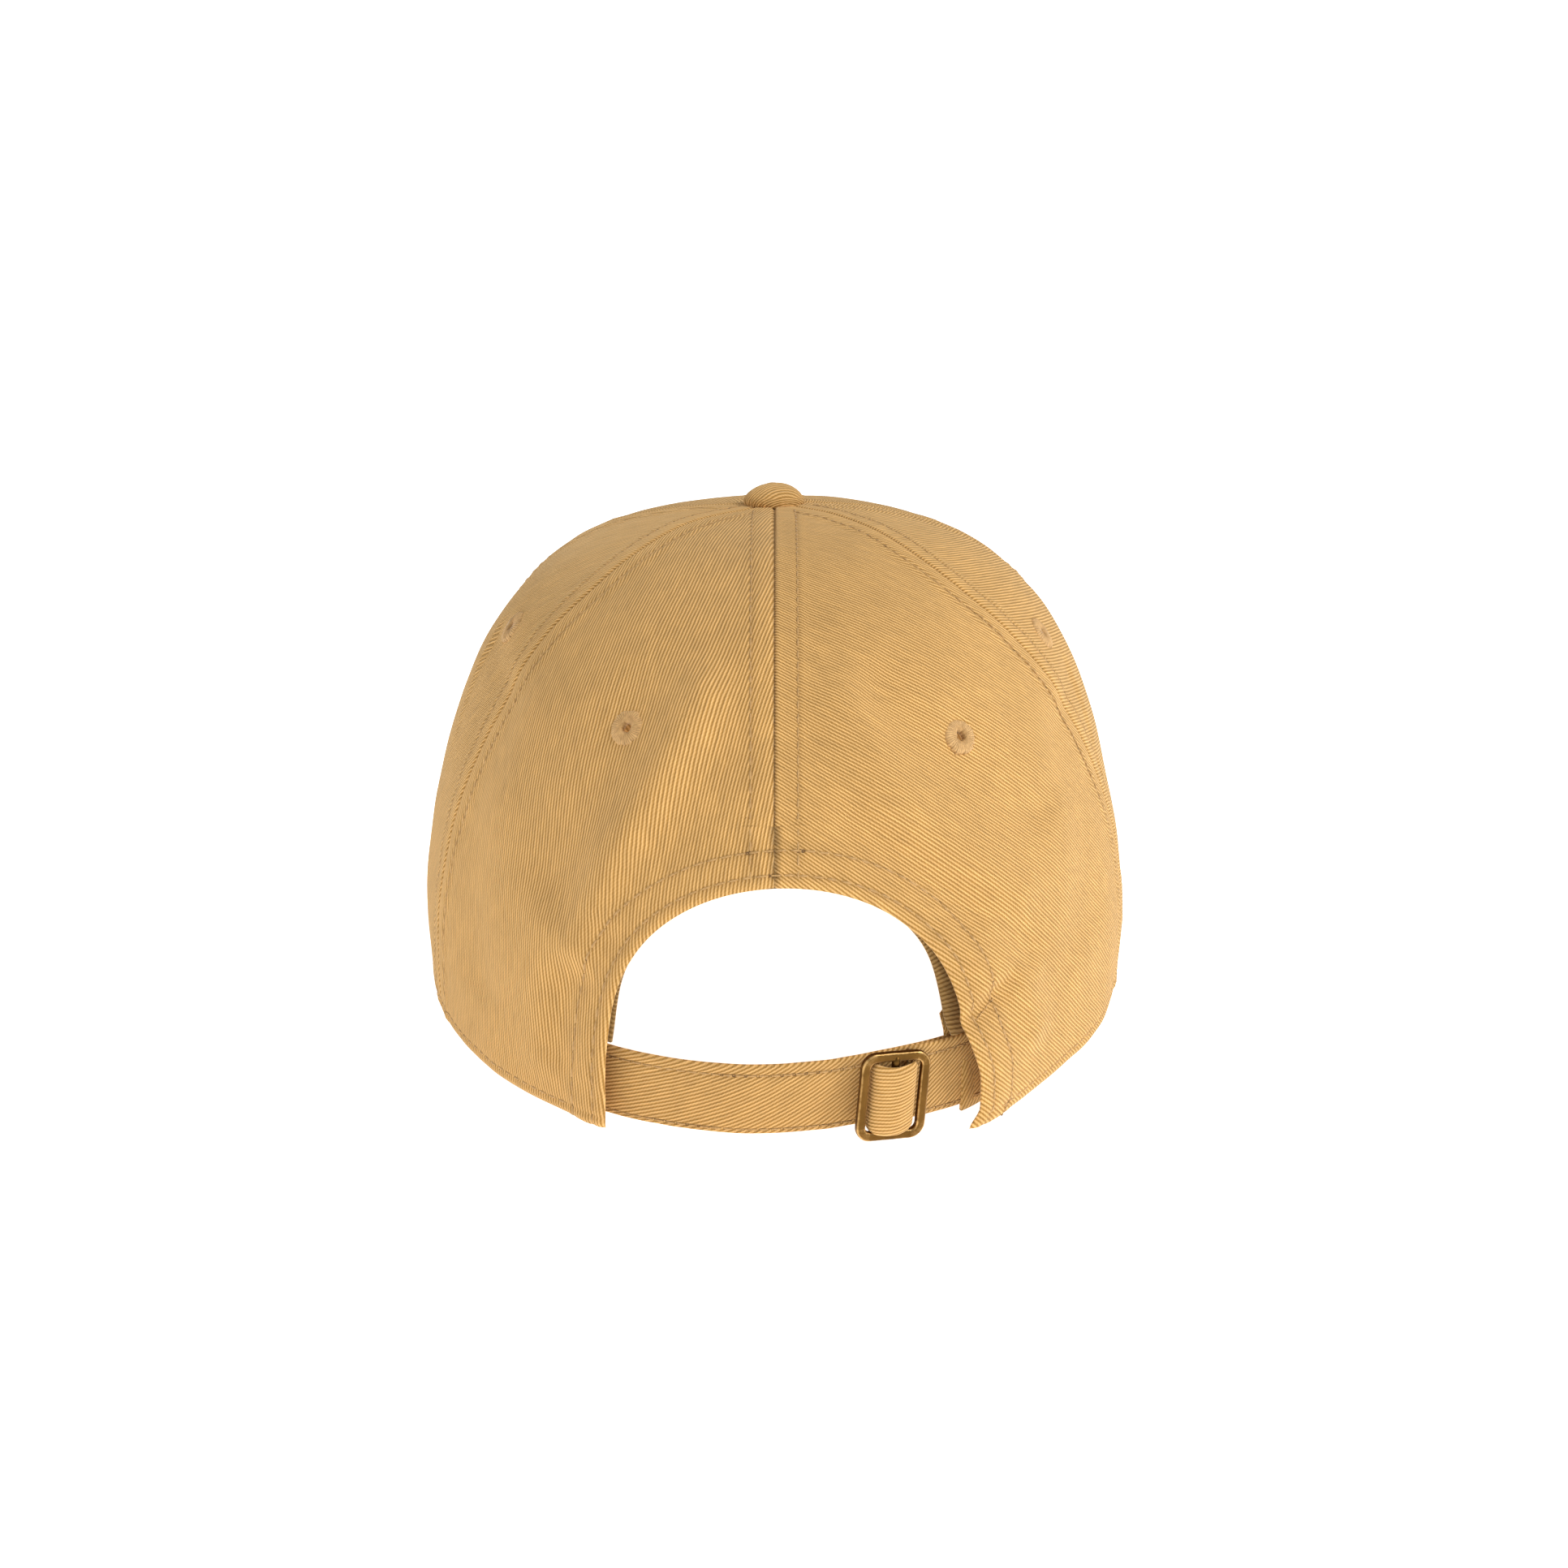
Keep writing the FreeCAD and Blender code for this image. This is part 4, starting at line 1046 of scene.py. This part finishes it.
def tuck_facing():
    """Loose cloth just inside the right of the opening, behind which the strap's tail goes."""
    rows, columns = 14, 9
    spots = []
    for j in range(rows):
        share = j / (rows - 1)
        for i in range(columns):
            across = i / (columns - 1)
            top = mix(21.0, 27.5, across)
            spots.append(on_back(mix(38.6, 47.0, across), mix(3.0, top + 3.0 * (1 - across), share)))
    crown_band("loose_facing", spots, rows, columns, 7.7, 0.6, TWILL, 55.0, "tuck_facing",
               0.3, 0.95)


def panel_topstitching():
    for seam, turn in SEAMS.items():
        first = on_back(0, ARCH_TOP + 1.2)[1] if seam == "back" else rise_at_height(
            turn, rim_height(turn) + 1.5)
        last = 1 - STITCH_END / TIP_SPREAD
        rows = []
        for side in (-1, 1):
            rises = evenly(lambda r: crown_point(turn, r), 90, first, last)
            rows.append([surface_at(beside(turn, rise, side * TOPSTITCH), rise) for rise in rises])
        sew("topstitch_" + seam + "_seam", rows, "crown")


def opening_stitches():
    rows = []
    for grow in ARCH_ROWS:
        row = []
        for side, shares in ((-1, range(0, 101)), (1, range(99, -1, -1))):
            row += [surface_at(*on_back(*arch_edge(side, share / 100, grow))) for share in shares]
        rows.append(row)
    sew("opening_topstitch", rows, "crown")


def hem_stitches():
    rows = []
    for start, end in ((SWEATBAND_END + 4, 119.0), (-119.0, -SWEATBAND_END - 1)):
        row = []
        for i in range(120):
            turn = mix(start, end, i / 119)
            row.append(surface_at(turn, rise_at_height(turn, rim_height(turn) + HEM_ROW)))
        rows.append(row)
    sew("rim_topstitch", rows, "crown")


def bar_tacks():
    """Dense satin bars: one slants up the crown beside the strap, one is inside on the left."""
    rows = []
    right = [surface_at(*on_back(mix(41.6, 47.2, i / 8), mix(23.4, 26.6, i / 8)))
             for i in range(9)]
    rows.append(right)
    left = []
    for i in range(9):
        turn, rise = on_back(-mix(40.0, 49.0, i / 8), 17.0)
        point = crown_point(turn, rise)
        outward = crown_outward(turn, rise)
        slow = relief(point, turn, rise)[0]
        left.append((point + outward * (slow - PANEL_THICK - 0.1), -outward))
    rows.append(left)
    sew("tack_stitches", rows, "crown", length=0.95, gap=0.35, radius=0.24, node="bar_tacks")


# ---- visor ----
def visor_edge_point(share, inset):
    """Outer edge of the visor from its left end (0) to its right end (1)."""
    angle = math.pi * (1 - share)
    power = 2 / VISOR_SQUARENESS
    x = (VISOR_HALF_WIDTH - inset) * signed_power(math.cos(angle), power)
    length = RIM_HALF_LENGTH + VISOR_REACH - VISOR_WIDEST - inset
    return x, VISOR_WIDEST + length * max(math.sin(angle), 0.0) ** power


def visor_spot(share, out):
    """A place on the visor: out runs from its seam (0) to its edge (1)."""
    edge_x, edge_y = visor_edge_point(share, 0)
    angle = math.radians(VISOR_HORN_TURN) * (2 * share - 1)
    root_x = (RIM_HALF_WIDTH + 0.2) * math.sin(angle)
    root_y = (RIM_HALF_LENGTH + 0.2) * math.cos(angle)
    horn = math.sin(math.pi * out) * bell(min(share, 1 - share), 0.045)
    return mix(root_x, edge_x, out), mix(root_y, edge_y, out) - 6.5 * horn


def visor_point(x, y, depth):
    """A point at a depth below the visor's bent sheet, and the direction up out of it."""
    lean = math.asin(x / VISOR_BEND_RADIUS)
    pitch = math.tan(math.radians(VISOR_PITCH))
    up = Vector((math.sin(lean), pitch * math.cos(lean), math.cos(lean))).normalized()
    return Vector((x, y, visor_height(x, y))) - up * depth, up


def visor_relief(x, y):
    swell = 0.35 * noise.noise(Vector((x, y, 0)) / 26.0)
    for row in VISOR_ROWS:
        distance = visor_row_trees[row].find(Vector((x, y, 0)))[2]
        swell -= 0.2 * bell(distance, 0.6)
        swell += 0.1 * noise.noise(Vector((x, y, 5)) / 4.0) * bell(distance, 2.0)
    return swell


visor_row_trees = {row: tree_of([Vector((*visor_edge_point(i / 300, row), 0)) for i in range(301)])
                   for row in VISOR_ROWS}


def visor_cloth(name, depth, below, node):
    """One face of the visor, drawn from the seam out, with its edge rolled over the board."""
    rows, columns = 60, 141
    outs = [0.0, 0.01, 0.025] + [mix(0.045, 0.96, i / (rows - 8)) for i in range(rows - 7)]
    outs += [0.972, 0.982, 0.991, 1.0]
    shares = [(1 - math.cos(math.pi * i / (columns - 1))) / 2 for i in range(columns)]
    shares = [mix(i / (columns - 1), share, 0.5) for i, share in enumerate(shares)]
    outer, inner, maps = [], [], []
    for out in outs:
        for share in shares:
            x, y = visor_spot(share, out)
            reach = min((Vector(visor_spot(share, 1)) - Vector((x, y))).length, 5.0)
            roll = 1.1 * (1 - min(reach / 1.6, 1.0)) ** 2
            swell = visor_relief(x, y)
            level = depth + roll if not below else depth - roll
            point, up = visor_point(x, y, level)
            if below:
                outer.append(point - up * (VISOR_CLOTH_THICK - swell * 0.5))
                inner.append(point)
            else:
                outer.append(point + up * swell)
                inner.append(point - up * VISOR_CLOTH_THICK)
            maps.append(turned(x, y, 28.0))
    faces = lattice(len(outs), columns)
    if below:
        faces = [face[::-1] for face in faces]
    piece = cloth_piece(name, outer, inner, faces, TWILL, maps)
    finish_sheet(piece, "crown", node,
                 (2 * VISOR_HALF_WIDTH + 12, RIM_HALF_LENGTH + VISOR_REACH - 36),
                 quad_area(outer, faces))


def visor_edge():
    """The two cloths' turned edges, which show as a thin roll round the visor."""
    steps, sides = 240, 10
    vertices, maps = [], []
    for i in range(steps):
        share = mix(0.012, 0.988, i / (steps - 1))
        x, y = visor_edge_point(share, 0.75)
        x_next, y_next = visor_edge_point(share + 0.002, 0.75)
        centre, up = visor_point(x, y, VISOR_STACK / 2)
        along = Vector((x_next - x, y_next - y, 0)).normalized()
        side = along.cross(up).normalized()
        for k in range(sides):
            angle = 2 * math.pi * k / sides
            vertices.append(centre + side * (0.75 * math.cos(angle)) + up * (0.95 * math.sin(angle)))
            maps.append((i * 1.1, k * 0.5))
    piece = new_piece("visor_rolled_edge", vertices, tube(steps, sides), TWILL, maps,
                      [1.05] * len(vertices))
    finish_piece(piece, "crown", "visor_edge_seam")


def visor_stitches():
    for name, below in (("visor_stitches_above", False), ("visor_stitches_below", True)):
        rows = []
        for inset in VISOR_ROWS:
            row = []
            for i in range(201):
                x, y = visor_edge_point(mix(0.015, 0.985, i / 200), inset)
                if math.hypot(x / (RIM_HALF_WIDTH + 3), y / (RIM_HALF_LENGTH + 3)) < 1:
                    continue
                swell = visor_relief(x, y)
                depth = VISOR_STACK - swell * 0.5 if below else -swell
                point, up = visor_point(x, y, depth)
                row.append((point, -up if below else up))
            rows.append(row)
        sew(name, rows, "crown")


# ---- strap, tab, fold and buckle ----
def arc_spot(angle, radius, height):
    turn = math.radians(angle)
    return ARC_CENTRE + Vector((radius * math.sin(turn), -radius * math.cos(turn), height))


def outward_at(angle):
    turn = math.radians(angle)
    return Vector((math.sin(turn), -math.cos(turn), 0))


def strap_rise(angle):
    """The strap hangs a little low on the left and rides up beside the buckle."""
    return 0.9 * smooth_step((angle - 8.0) / 16.0) - 0.9 * smooth_step((14.0 - angle) / 22.0)


def strap_slant(angle):
    """Slant of the weave on the strap: shallow on the left, steeper to the right."""
    return math.radians(mix(20.0, 38.0, smooth_step((angle + 30.0) / 60.0)))


def band_shape(angle_from, angle_to, width, mid_radius, thick, lift, wave, seed):
    """Grids of a doubled strip of cloth on edge, sewn along both edges."""
    columns = int((angle_to - angle_from) / 0.7)
    levels = [-1.0, -0.985, -0.95, -0.9, -0.85, -0.8, -0.72] + [mix(-0.6, 0.6, i / 8) for i in range(9)]
    levels += [0.66, 0.70, 0.74, 0.80, 0.88, 0.95, 0.985, 1.0]
    outer, inner, maps, tones = [], [], [], []
    for level in levels:
        lines = 0.0
        for i in range(columns):
            angle = mix(angle_from, angle_to, i / (columns - 1))
            step = math.radians((angle_to - angle_from) / (columns - 1)) * mid_radius
            lines += math.sin(strap_slant(angle)) * step
            edge = min(1 - abs(level), 1.0)
            puff = thick / 2 * (1 - 0.75 * (1 - min(edge / 0.06, 1.0)) ** 2)
            groove = 0.22 * (bell(level - STRAP_ROWS[0], 0.045)
                             + bell(level - STRAP_ROWS[1], 0.035))
            height = level * width / 2 * (1 + 0.01 * noise.noise(Vector((angle / 4, level, seed))))
            ripple = wave * noise.noise(Vector((angle / 7.0, level * 0.7, seed)))
            middle = mid_radius + ripple
            z = STRAP_MIDDLE + lift(angle) + height
            outer.append(arc_spot(angle, middle + puff - groove, z))
            inner.append(arc_spot(angle, middle - puff + groove * 0.5, z))
            maps.append((height * math.cos(strap_slant(angle)) - lines, i * step))
            # painted shade: the whole band is darkened to 0.94, and more along the grooves of its
            # stitch rows
            tones.append(0.94 + 0.08 * (1 - min(edge / 0.08, 1.0)) - 0.5 * groove)
    return outer, inner, lattice(len(levels), columns), maps, tones


def band_stitches(name, angle_from, angle_to, width, radius, lift, body):
    rows = []
    for level in STRAP_ROWS:
        row = []
        for i in range(120):
            angle = mix(angle_from, angle_to, i / 119)
            spot = arc_spot(angle, radius, STRAP_MIDDLE + lift(angle) + level * width / 2)
            row.append((spot, outward_at(angle)))
        rows.append(row)
    sew(name, rows, body, length=2.0, gap=0.6, radius=0.2)


def strap():
    middle = (STRAP_IN + STRAP_OUT) / 2
    thick = STRAP_OUT - STRAP_IN
    shape = band_shape(-STRAP_REACH_LEFT, STRAP_REACH_RIGHT, STRAP_WIDTH, middle, thick,
                       strap_rise, 0.12, 1.0)
    outer, inner, faces, maps, tones = shape
    piece = cloth_piece("cloth_strap", outer, inner, faces, TWILL, maps, tones)
    length = math.radians(STRAP_REACH_LEFT + STRAP_REACH_RIGHT) * middle
    finish_sheet(piece, "strap", "strap", (length, STRAP_WIDTH),
                 length * STRAP_WIDTH)
    band_stitches("strap_edge_stitches", -STRAP_REACH_LEFT + 1, STRAP_REACH_RIGHT - 1, STRAP_WIDTH,
                  STRAP_OUT - 0.12, strap_rise, "strap")


def tab():
    start = BUCKLE_ANGLE + math.degrees(5.0 / TAB_OUT)
    middle = (TAB_IN + TAB_OUT) / 2
    outer, inner, faces, maps, tones = band_shape(
        start, TAB_END_ANGLE, TAB_WIDTH, middle, TAB_OUT - TAB_IN, lambda a: TAB_RISE, 0.05, 4.0)
    piece = cloth_piece("cloth_tab", outer, inner, faces, TWILL, maps, tones)
    length = math.radians(TAB_END_ANGLE - start) * middle
    finish_sheet(piece, "crown", "strap_tab", (length, TAB_WIDTH),
                 length * TAB_WIDTH)
    band_stitches("tab_edge_stitches", start + 3.0, TAB_END_ANGLE - 0.5, TAB_WIDTH, TAB_OUT - 0.1,
                  lambda a: TAB_RISE, "crown")


def buckle_spot(across, out, up):
    """From the buckle's own axes: across to +X along the strap, out from the head, and up."""
    outward = outward_at(BUCKLE_ANGLE)
    askew = Matrix.Rotation(math.radians(-BUCKLE_LEAN), 3, outward)
    along = askew @ Vector((0, 0, 1)).cross(outward) * -1
    return (arc_spot(BUCKLE_ANGLE, PIVOT_AT, STRAP_MIDDLE) - along * across + outward * out
            + askew @ Vector((0, 0, up)))


FOLD_LINE = ((-5.0, -3.3), (-5.35, -1.9), (-5.3, -0.3), (-4.7, 1.0), (-3.3, 1.9), (-1.4, 2.35),
             (0.8, 2.4), (2.8, 2.0), (4.4, 1.2), (5.2, 0.1), (5.5, -1.2), (5.9, -2.3))


def window_fold():
    """The strap's cloth where it is folded over the pivot: it bulges out of the window, sags
    at its upper edge, and hides the top of the lower bar."""
    knots = [Vector((a, b, 0)) for a, b in FOLD_LINE]
    path = []
    for i in range(len(knots) - 1):
        before = knots[max(i - 1, 0)]
        after = knots[min(i + 2, len(knots) - 1)]
        for k in range(5):
            t = k / 5
            a, b = knots[i], knots[i + 1]
            path.append(0.5 * (2 * a + (b - before) * t + (2 * before - 5 * a + 4 * b - after) * t * t
                               + (3 * a - before - 3 * b + after) * t ** 3))
    path.append(knots[-1])
    reach = lengths_along(path)
    rows, thick = 25, 0.85
    outer, inner, maps, tones = [], [], [], []
    for j in range(rows):
        level = 2 * j / (rows - 1) - 1
        level = signed_power(level, 0.8)
        for i, spot in enumerate(path):
            share = reach[i] / reach[-1]
            arch = math.sin(math.pi * share)
            top = 8.0 - 0.75 * arch ** 3
            bottom = -7.8 - 1.1 * arch ** 2
            height = mix(bottom, top, (level + 1) / 2)
            round_off = 1 - 0.10 * level * level * arch
            tuck = 0.55 * max(abs(level) - 0.86, 0) / 0.14
            around = (path[min(i + 1, len(path) - 1)] - path[max(i - 1, 0)]).normalized()
            normal = Vector((-around.y, around.x, 0))
            x, out = spot.x, spot.y * round_off if spot.y > 0 else spot.y
            wave = 0.10 * noise.noise(Vector((share * 5, level * 1.5, 9)))
            outer.append(buckle_spot(x + normal.x * (wave - tuck), out + normal.y * (wave - tuck),
                                     height))
            inner.append(buckle_spot(x - normal.x * thick, out - normal.y * thick, height))
            lines = height * math.cos(0.1) - 2.2 * smooth_step((share - 0.45) / 0.55)
            maps.append((lines, reach[i]))
            tones.append(1.0 + 0.06 * max(abs(level) - 0.9, 0) / 0.1)
    columns = len(path)
    faces = lattice(rows, columns)
    piece = cloth_piece("cloth_folded_over_pivot", outer, inner, faces, TWILL, maps, tones)
    finish_sheet(piece, "crown", "strap_fold", (reach[-1], STRAP_WIDTH),
                 quad_area(outer, faces))


def buckle():
    """Slide buckle: a flat ring with rounded corners and a round bar up its middle."""
    half_x = (BUCKLE_WIDTH - BUCKLE_BAR) / 2
    half_z = (BUCKLE_HEIGHT - BUCKLE_BAR) / 2
    corner = BUCKLE_CORNER - BUCKLE_BAR / 2
    line = []
    for centre_x, centre_z, start in ((1, 1, 0), (-1, 1, 90), (-1, -1, 180), (1, -1, 270)):
        for k in range(13):
            angle = math.radians(start + 90 * k / 12)
            line.append((centre_x * (half_x - corner) + corner * math.cos(angle),
                         centre_z * (half_z - corner) + corner * math.sin(angle), angle))
        next_x, next_z = {0: (-1, 1), 90: (-1, -1), 180: (1, -1), 270: (1, 1)}[start]
        a = line[-1]
        angle = a[2]
        b = (next_x * (half_x - corner) + corner * math.cos(angle),
             next_z * (half_z - corner) + corner * math.sin(angle))
        line += [(mix(a[0], b[0], k / 14), mix(a[1], b[1], k / 14), angle) for k in range(1, 14)]
    vertices, tones = [], []
    section = 20
    for x, z, angle in line:
        for k in range(section):
            roll = 2 * math.pi * k / section
            c, s = math.cos(roll), math.sin(roll)
            power = 2 / 3.6
            side = BUCKLE_BAR / 2 * signed_power(c, power)
            out = BUCKLE_THICK / 2 * signed_power(s, power)
            wear = 0.03 * noise.noise(Vector((x, z, k * 0.3)) / 1.5)
            out += 0.25 * bell(z - half_z, 2.0) * bell(x, 5.0) * -0.6
            vertices.append(buckle_spot(x + (side + wear) * math.cos(angle), out,
                                        z + (side + wear) * math.sin(angle)))
            shoulder = bell(abs(c) - 0.72, 0.2) * bell(abs(s) - 0.70, 0.25)
            bend = 1.25 if abs(x) > half_x - corner and abs(z) > half_z - corner else 0.8
            tones.append((0.35 + 0.95 * shoulder * (s > 0)) * bend)
    faces = ring_tube(len(line), section)
    base = len(vertices)
    sides, levels = 18, 12
    for j in range(levels):
        z = mix(-half_z, half_z, j / (levels - 1))
        for k in range(sides):
            roll = 2 * math.pi * k / sides
            vertices.append(buckle_spot(PIVOT_RADIUS * math.cos(roll),
                                        PIVOT_RADIUS * math.sin(roll), z))
            tones.append(0.3)
    faces += tube(levels, sides, base)
    piece = new_piece("slide_buckle", vertices, faces, BRASS, None, tones)
    fix_normals(piece)
    finish_piece(piece, "buckle", "buckle")


def fix_normals(piece):
    work = bmesh.new()
    work.from_mesh(piece.data)
    bmesh.ops.recalc_face_normals(work, faces=work.faces)
    work.to_mesh(piece.data)
    work.free()


# ---- button ----
def button():
    """Cloth-covered button: twill pulled over a metal shell and gathered under its rim."""
    profile = [(0.84, -0.17), (0.93, -0.15), (0.99, -0.06), (1.01, 0.07), (0.995, 0.22),
               (0.94, 0.38), (0.86, 0.52), (0.75, 0.66), (0.61, 0.79), (0.45, 0.89),
               (0.28, 0.96), (0.12, 0.99)]
    steps = 120
    outer, inner, maps = [], [], []
    base = Vector((0, 0, CROWN_HEIGHT + BUTTON_SEAT))
    nod = Matrix.Rotation(math.radians(-CROWN_NOD), 3, "X")
    for wide, high in profile:
        for i in range(steps):
            angle = 2 * math.pi * i / steps
            way = Vector((math.cos(angle), math.sin(angle), 0))
            gather = smooth_step((0.45 - high) / 0.4)
            pleat = 0.16 * gather * math.sin(angle * 26 + 3 * noise.noise(way * 2))
            swell = 0.12 * noise.noise(way * 1.3 + Vector((0, 0, high * 2)))
            reach = BUTTON_RADIUS * wide + pleat + swell
            outer.append(base + way * reach + Vector((0, 0, BUTTON_HEIGHT * high + swell)))
            inner.append(base + way * (reach - 0.5) + Vector((0, 0, BUTTON_HEIGHT * high - 0.35)))
            pull = BUTTON_RADIUS * (wide + 0.9 * max(0.4 - high, 0))
            maps.append(turned(pull * way.x, pull * way.y, 25.0))
    faces = lattice(len(profile), steps, True)
    top = len(outer)
    outer.append(base + Vector((0, 0, BUTTON_HEIGHT)))
    inner.append(base + Vector((0, 0, BUTTON_HEIGHT - 0.5)))
    maps.append((0.0, 0.0))
    last = (len(profile) - 1) * steps
    faces += [(last + i, last + (i + 1) % steps, top) for i in range(steps)]
    outer, inner = [nod @ v for v in outer], [nod @ v for v in inner]
    piece = cloth_piece("covered_button", outer, inner, faces, TWILL, maps)
    across = 2 * BUTTON_RADIUS + 2 * BUTTON_HEIGHT
    finish_sheet(piece, "crown", "button_cover", (across, across),
                 min(quad_area(outer, faces), across * across))


# ---- the cap ----
def dress_cad_nodes():
    for name, material in (("visor_board", BOARD), ("button_shell", STEEL),
                           ("button_rivet", STEEL), ("button_washer", STEEL)):
        node = frame["nodes"][name]
        node.data.materials.clear()
        node.data.materials.append(material)


def make_cap():
    for panel in PANELS:
        crown_panel(panel)
        embroidered_eyelet(panel)
    for seam in SEAMS:
        seam_tape(seam)
    arch_binding()
    sweatband()
    inner_bands()
    tuck_facing()
    panel_topstitching()
    opening_stitches()
    hem_stitches()
    bar_tacks()
    visor_cloth("visor_cloth_above", 0.0, False, "visor_upper_cloth")
    visor_cloth("visor_cloth_below", VISOR_STACK - VISOR_CLOTH_THICK, True, "visor_lower_cloth")
    visor_edge()
    visor_stitches()
    strap()
    tab()
    window_fold()
    buckle()
    button()
    dress_cad_nodes()


# ---- studio ----
def studio_floor():
    mesh = bpy.data.meshes.new("studio_floor")
    size = FLOOR_HALF_SIZE
    corners = [(-size, -size, 0), (size, -size, 0), (size, size, 0), (-size, size, 0)]
    mesh.from_pydata(corners, [], [(0, 1, 2, 3)])
    material, tree = new_material("pale_paper_floor")
    shader = add_node(tree, "BsdfPrincipled", {
        "Base Color": linear("#f7f7f7"), "Roughness": 0.9, "Specular IOR Level": 0.1,
        "Emission Color": linear("#ffffff"), "Emission Strength": 0.95})
    close_material(tree, shader)
    mesh.materials.append(material)
    floor = bpy.data.objects.new("studio_floor", mesh)
    scene.collection.objects.link(floor)


def soft_light(name, spot, size, power):
    data = bpy.data.lights.new(name, "AREA")
    data.shape = "DISK"
    data.size = size
    data.energy = power
    lamp = bpy.data.objects.new(name, data)
    lamp.location = spot
    lamp.rotation_euler = (Vector(LIGHT_AIM) - Vector(spot)).to_track_quat("-Z", "Y").to_euler()
    scene.collection.objects.link(lamp)


FLOOR_HALF_SIZE = 30.0       # metres, as are the lights' places and sizes
LIGHT_AIM = (0, 0, 0.06)
KEY_LIGHT = ((0.95, -0.55, 1.0), 0.5, 13.0)      # its place, its size, and its power in watts
FILL_LIGHT = ((-1.3, -0.5, 0.7), 1.0, 3.5)
AIR_LIGHT = 0.5
CAMERA_AIM = Vector((0, 0, 55))
CAMERA_RISE = 21.84          # above the plane of the crown's rim
CAMERA_DISTANCE = 1000.0
CAMERA_LENS = 98.95
CAMERA_SHIFT = (0.0062, -0.0311)


def studio():
    studio_floor()
    soft_light("key_light", *KEY_LIGHT)
    soft_light("fill_light", *FILL_LIGHT)
    world = bpy.data.worlds.new("studio_air")
    world.use_nodes = True
    air = world.node_tree.nodes["Background"]
    air.inputs["Color"].default_value = linear("#ffffff")
    air.inputs["Strength"].default_value = AIR_LIGHT
    scene.world = world
    scene.view_settings.view_transform = "Standard"
    aim = place(CAMERA_AIM)
    rise = math.radians(CAMERA_RISE) - LEAN_ANGLE
    data = bpy.data.cameras.new("camera")
    data.lens = CAMERA_LENS
    data.shift_x, data.shift_y = CAMERA_SHIFT
    camera = bpy.data.objects.new("camera", data)
    camera.location = aim - Vector((0, math.cos(rise), -math.sin(rise))) * CAMERA_DISTANCE * MM
    camera.rotation_euler = (math.pi / 2 - rise, 0, 0)
    scene.collection.objects.link(camera)
    scene.camera = camera


make_cap()
studio()
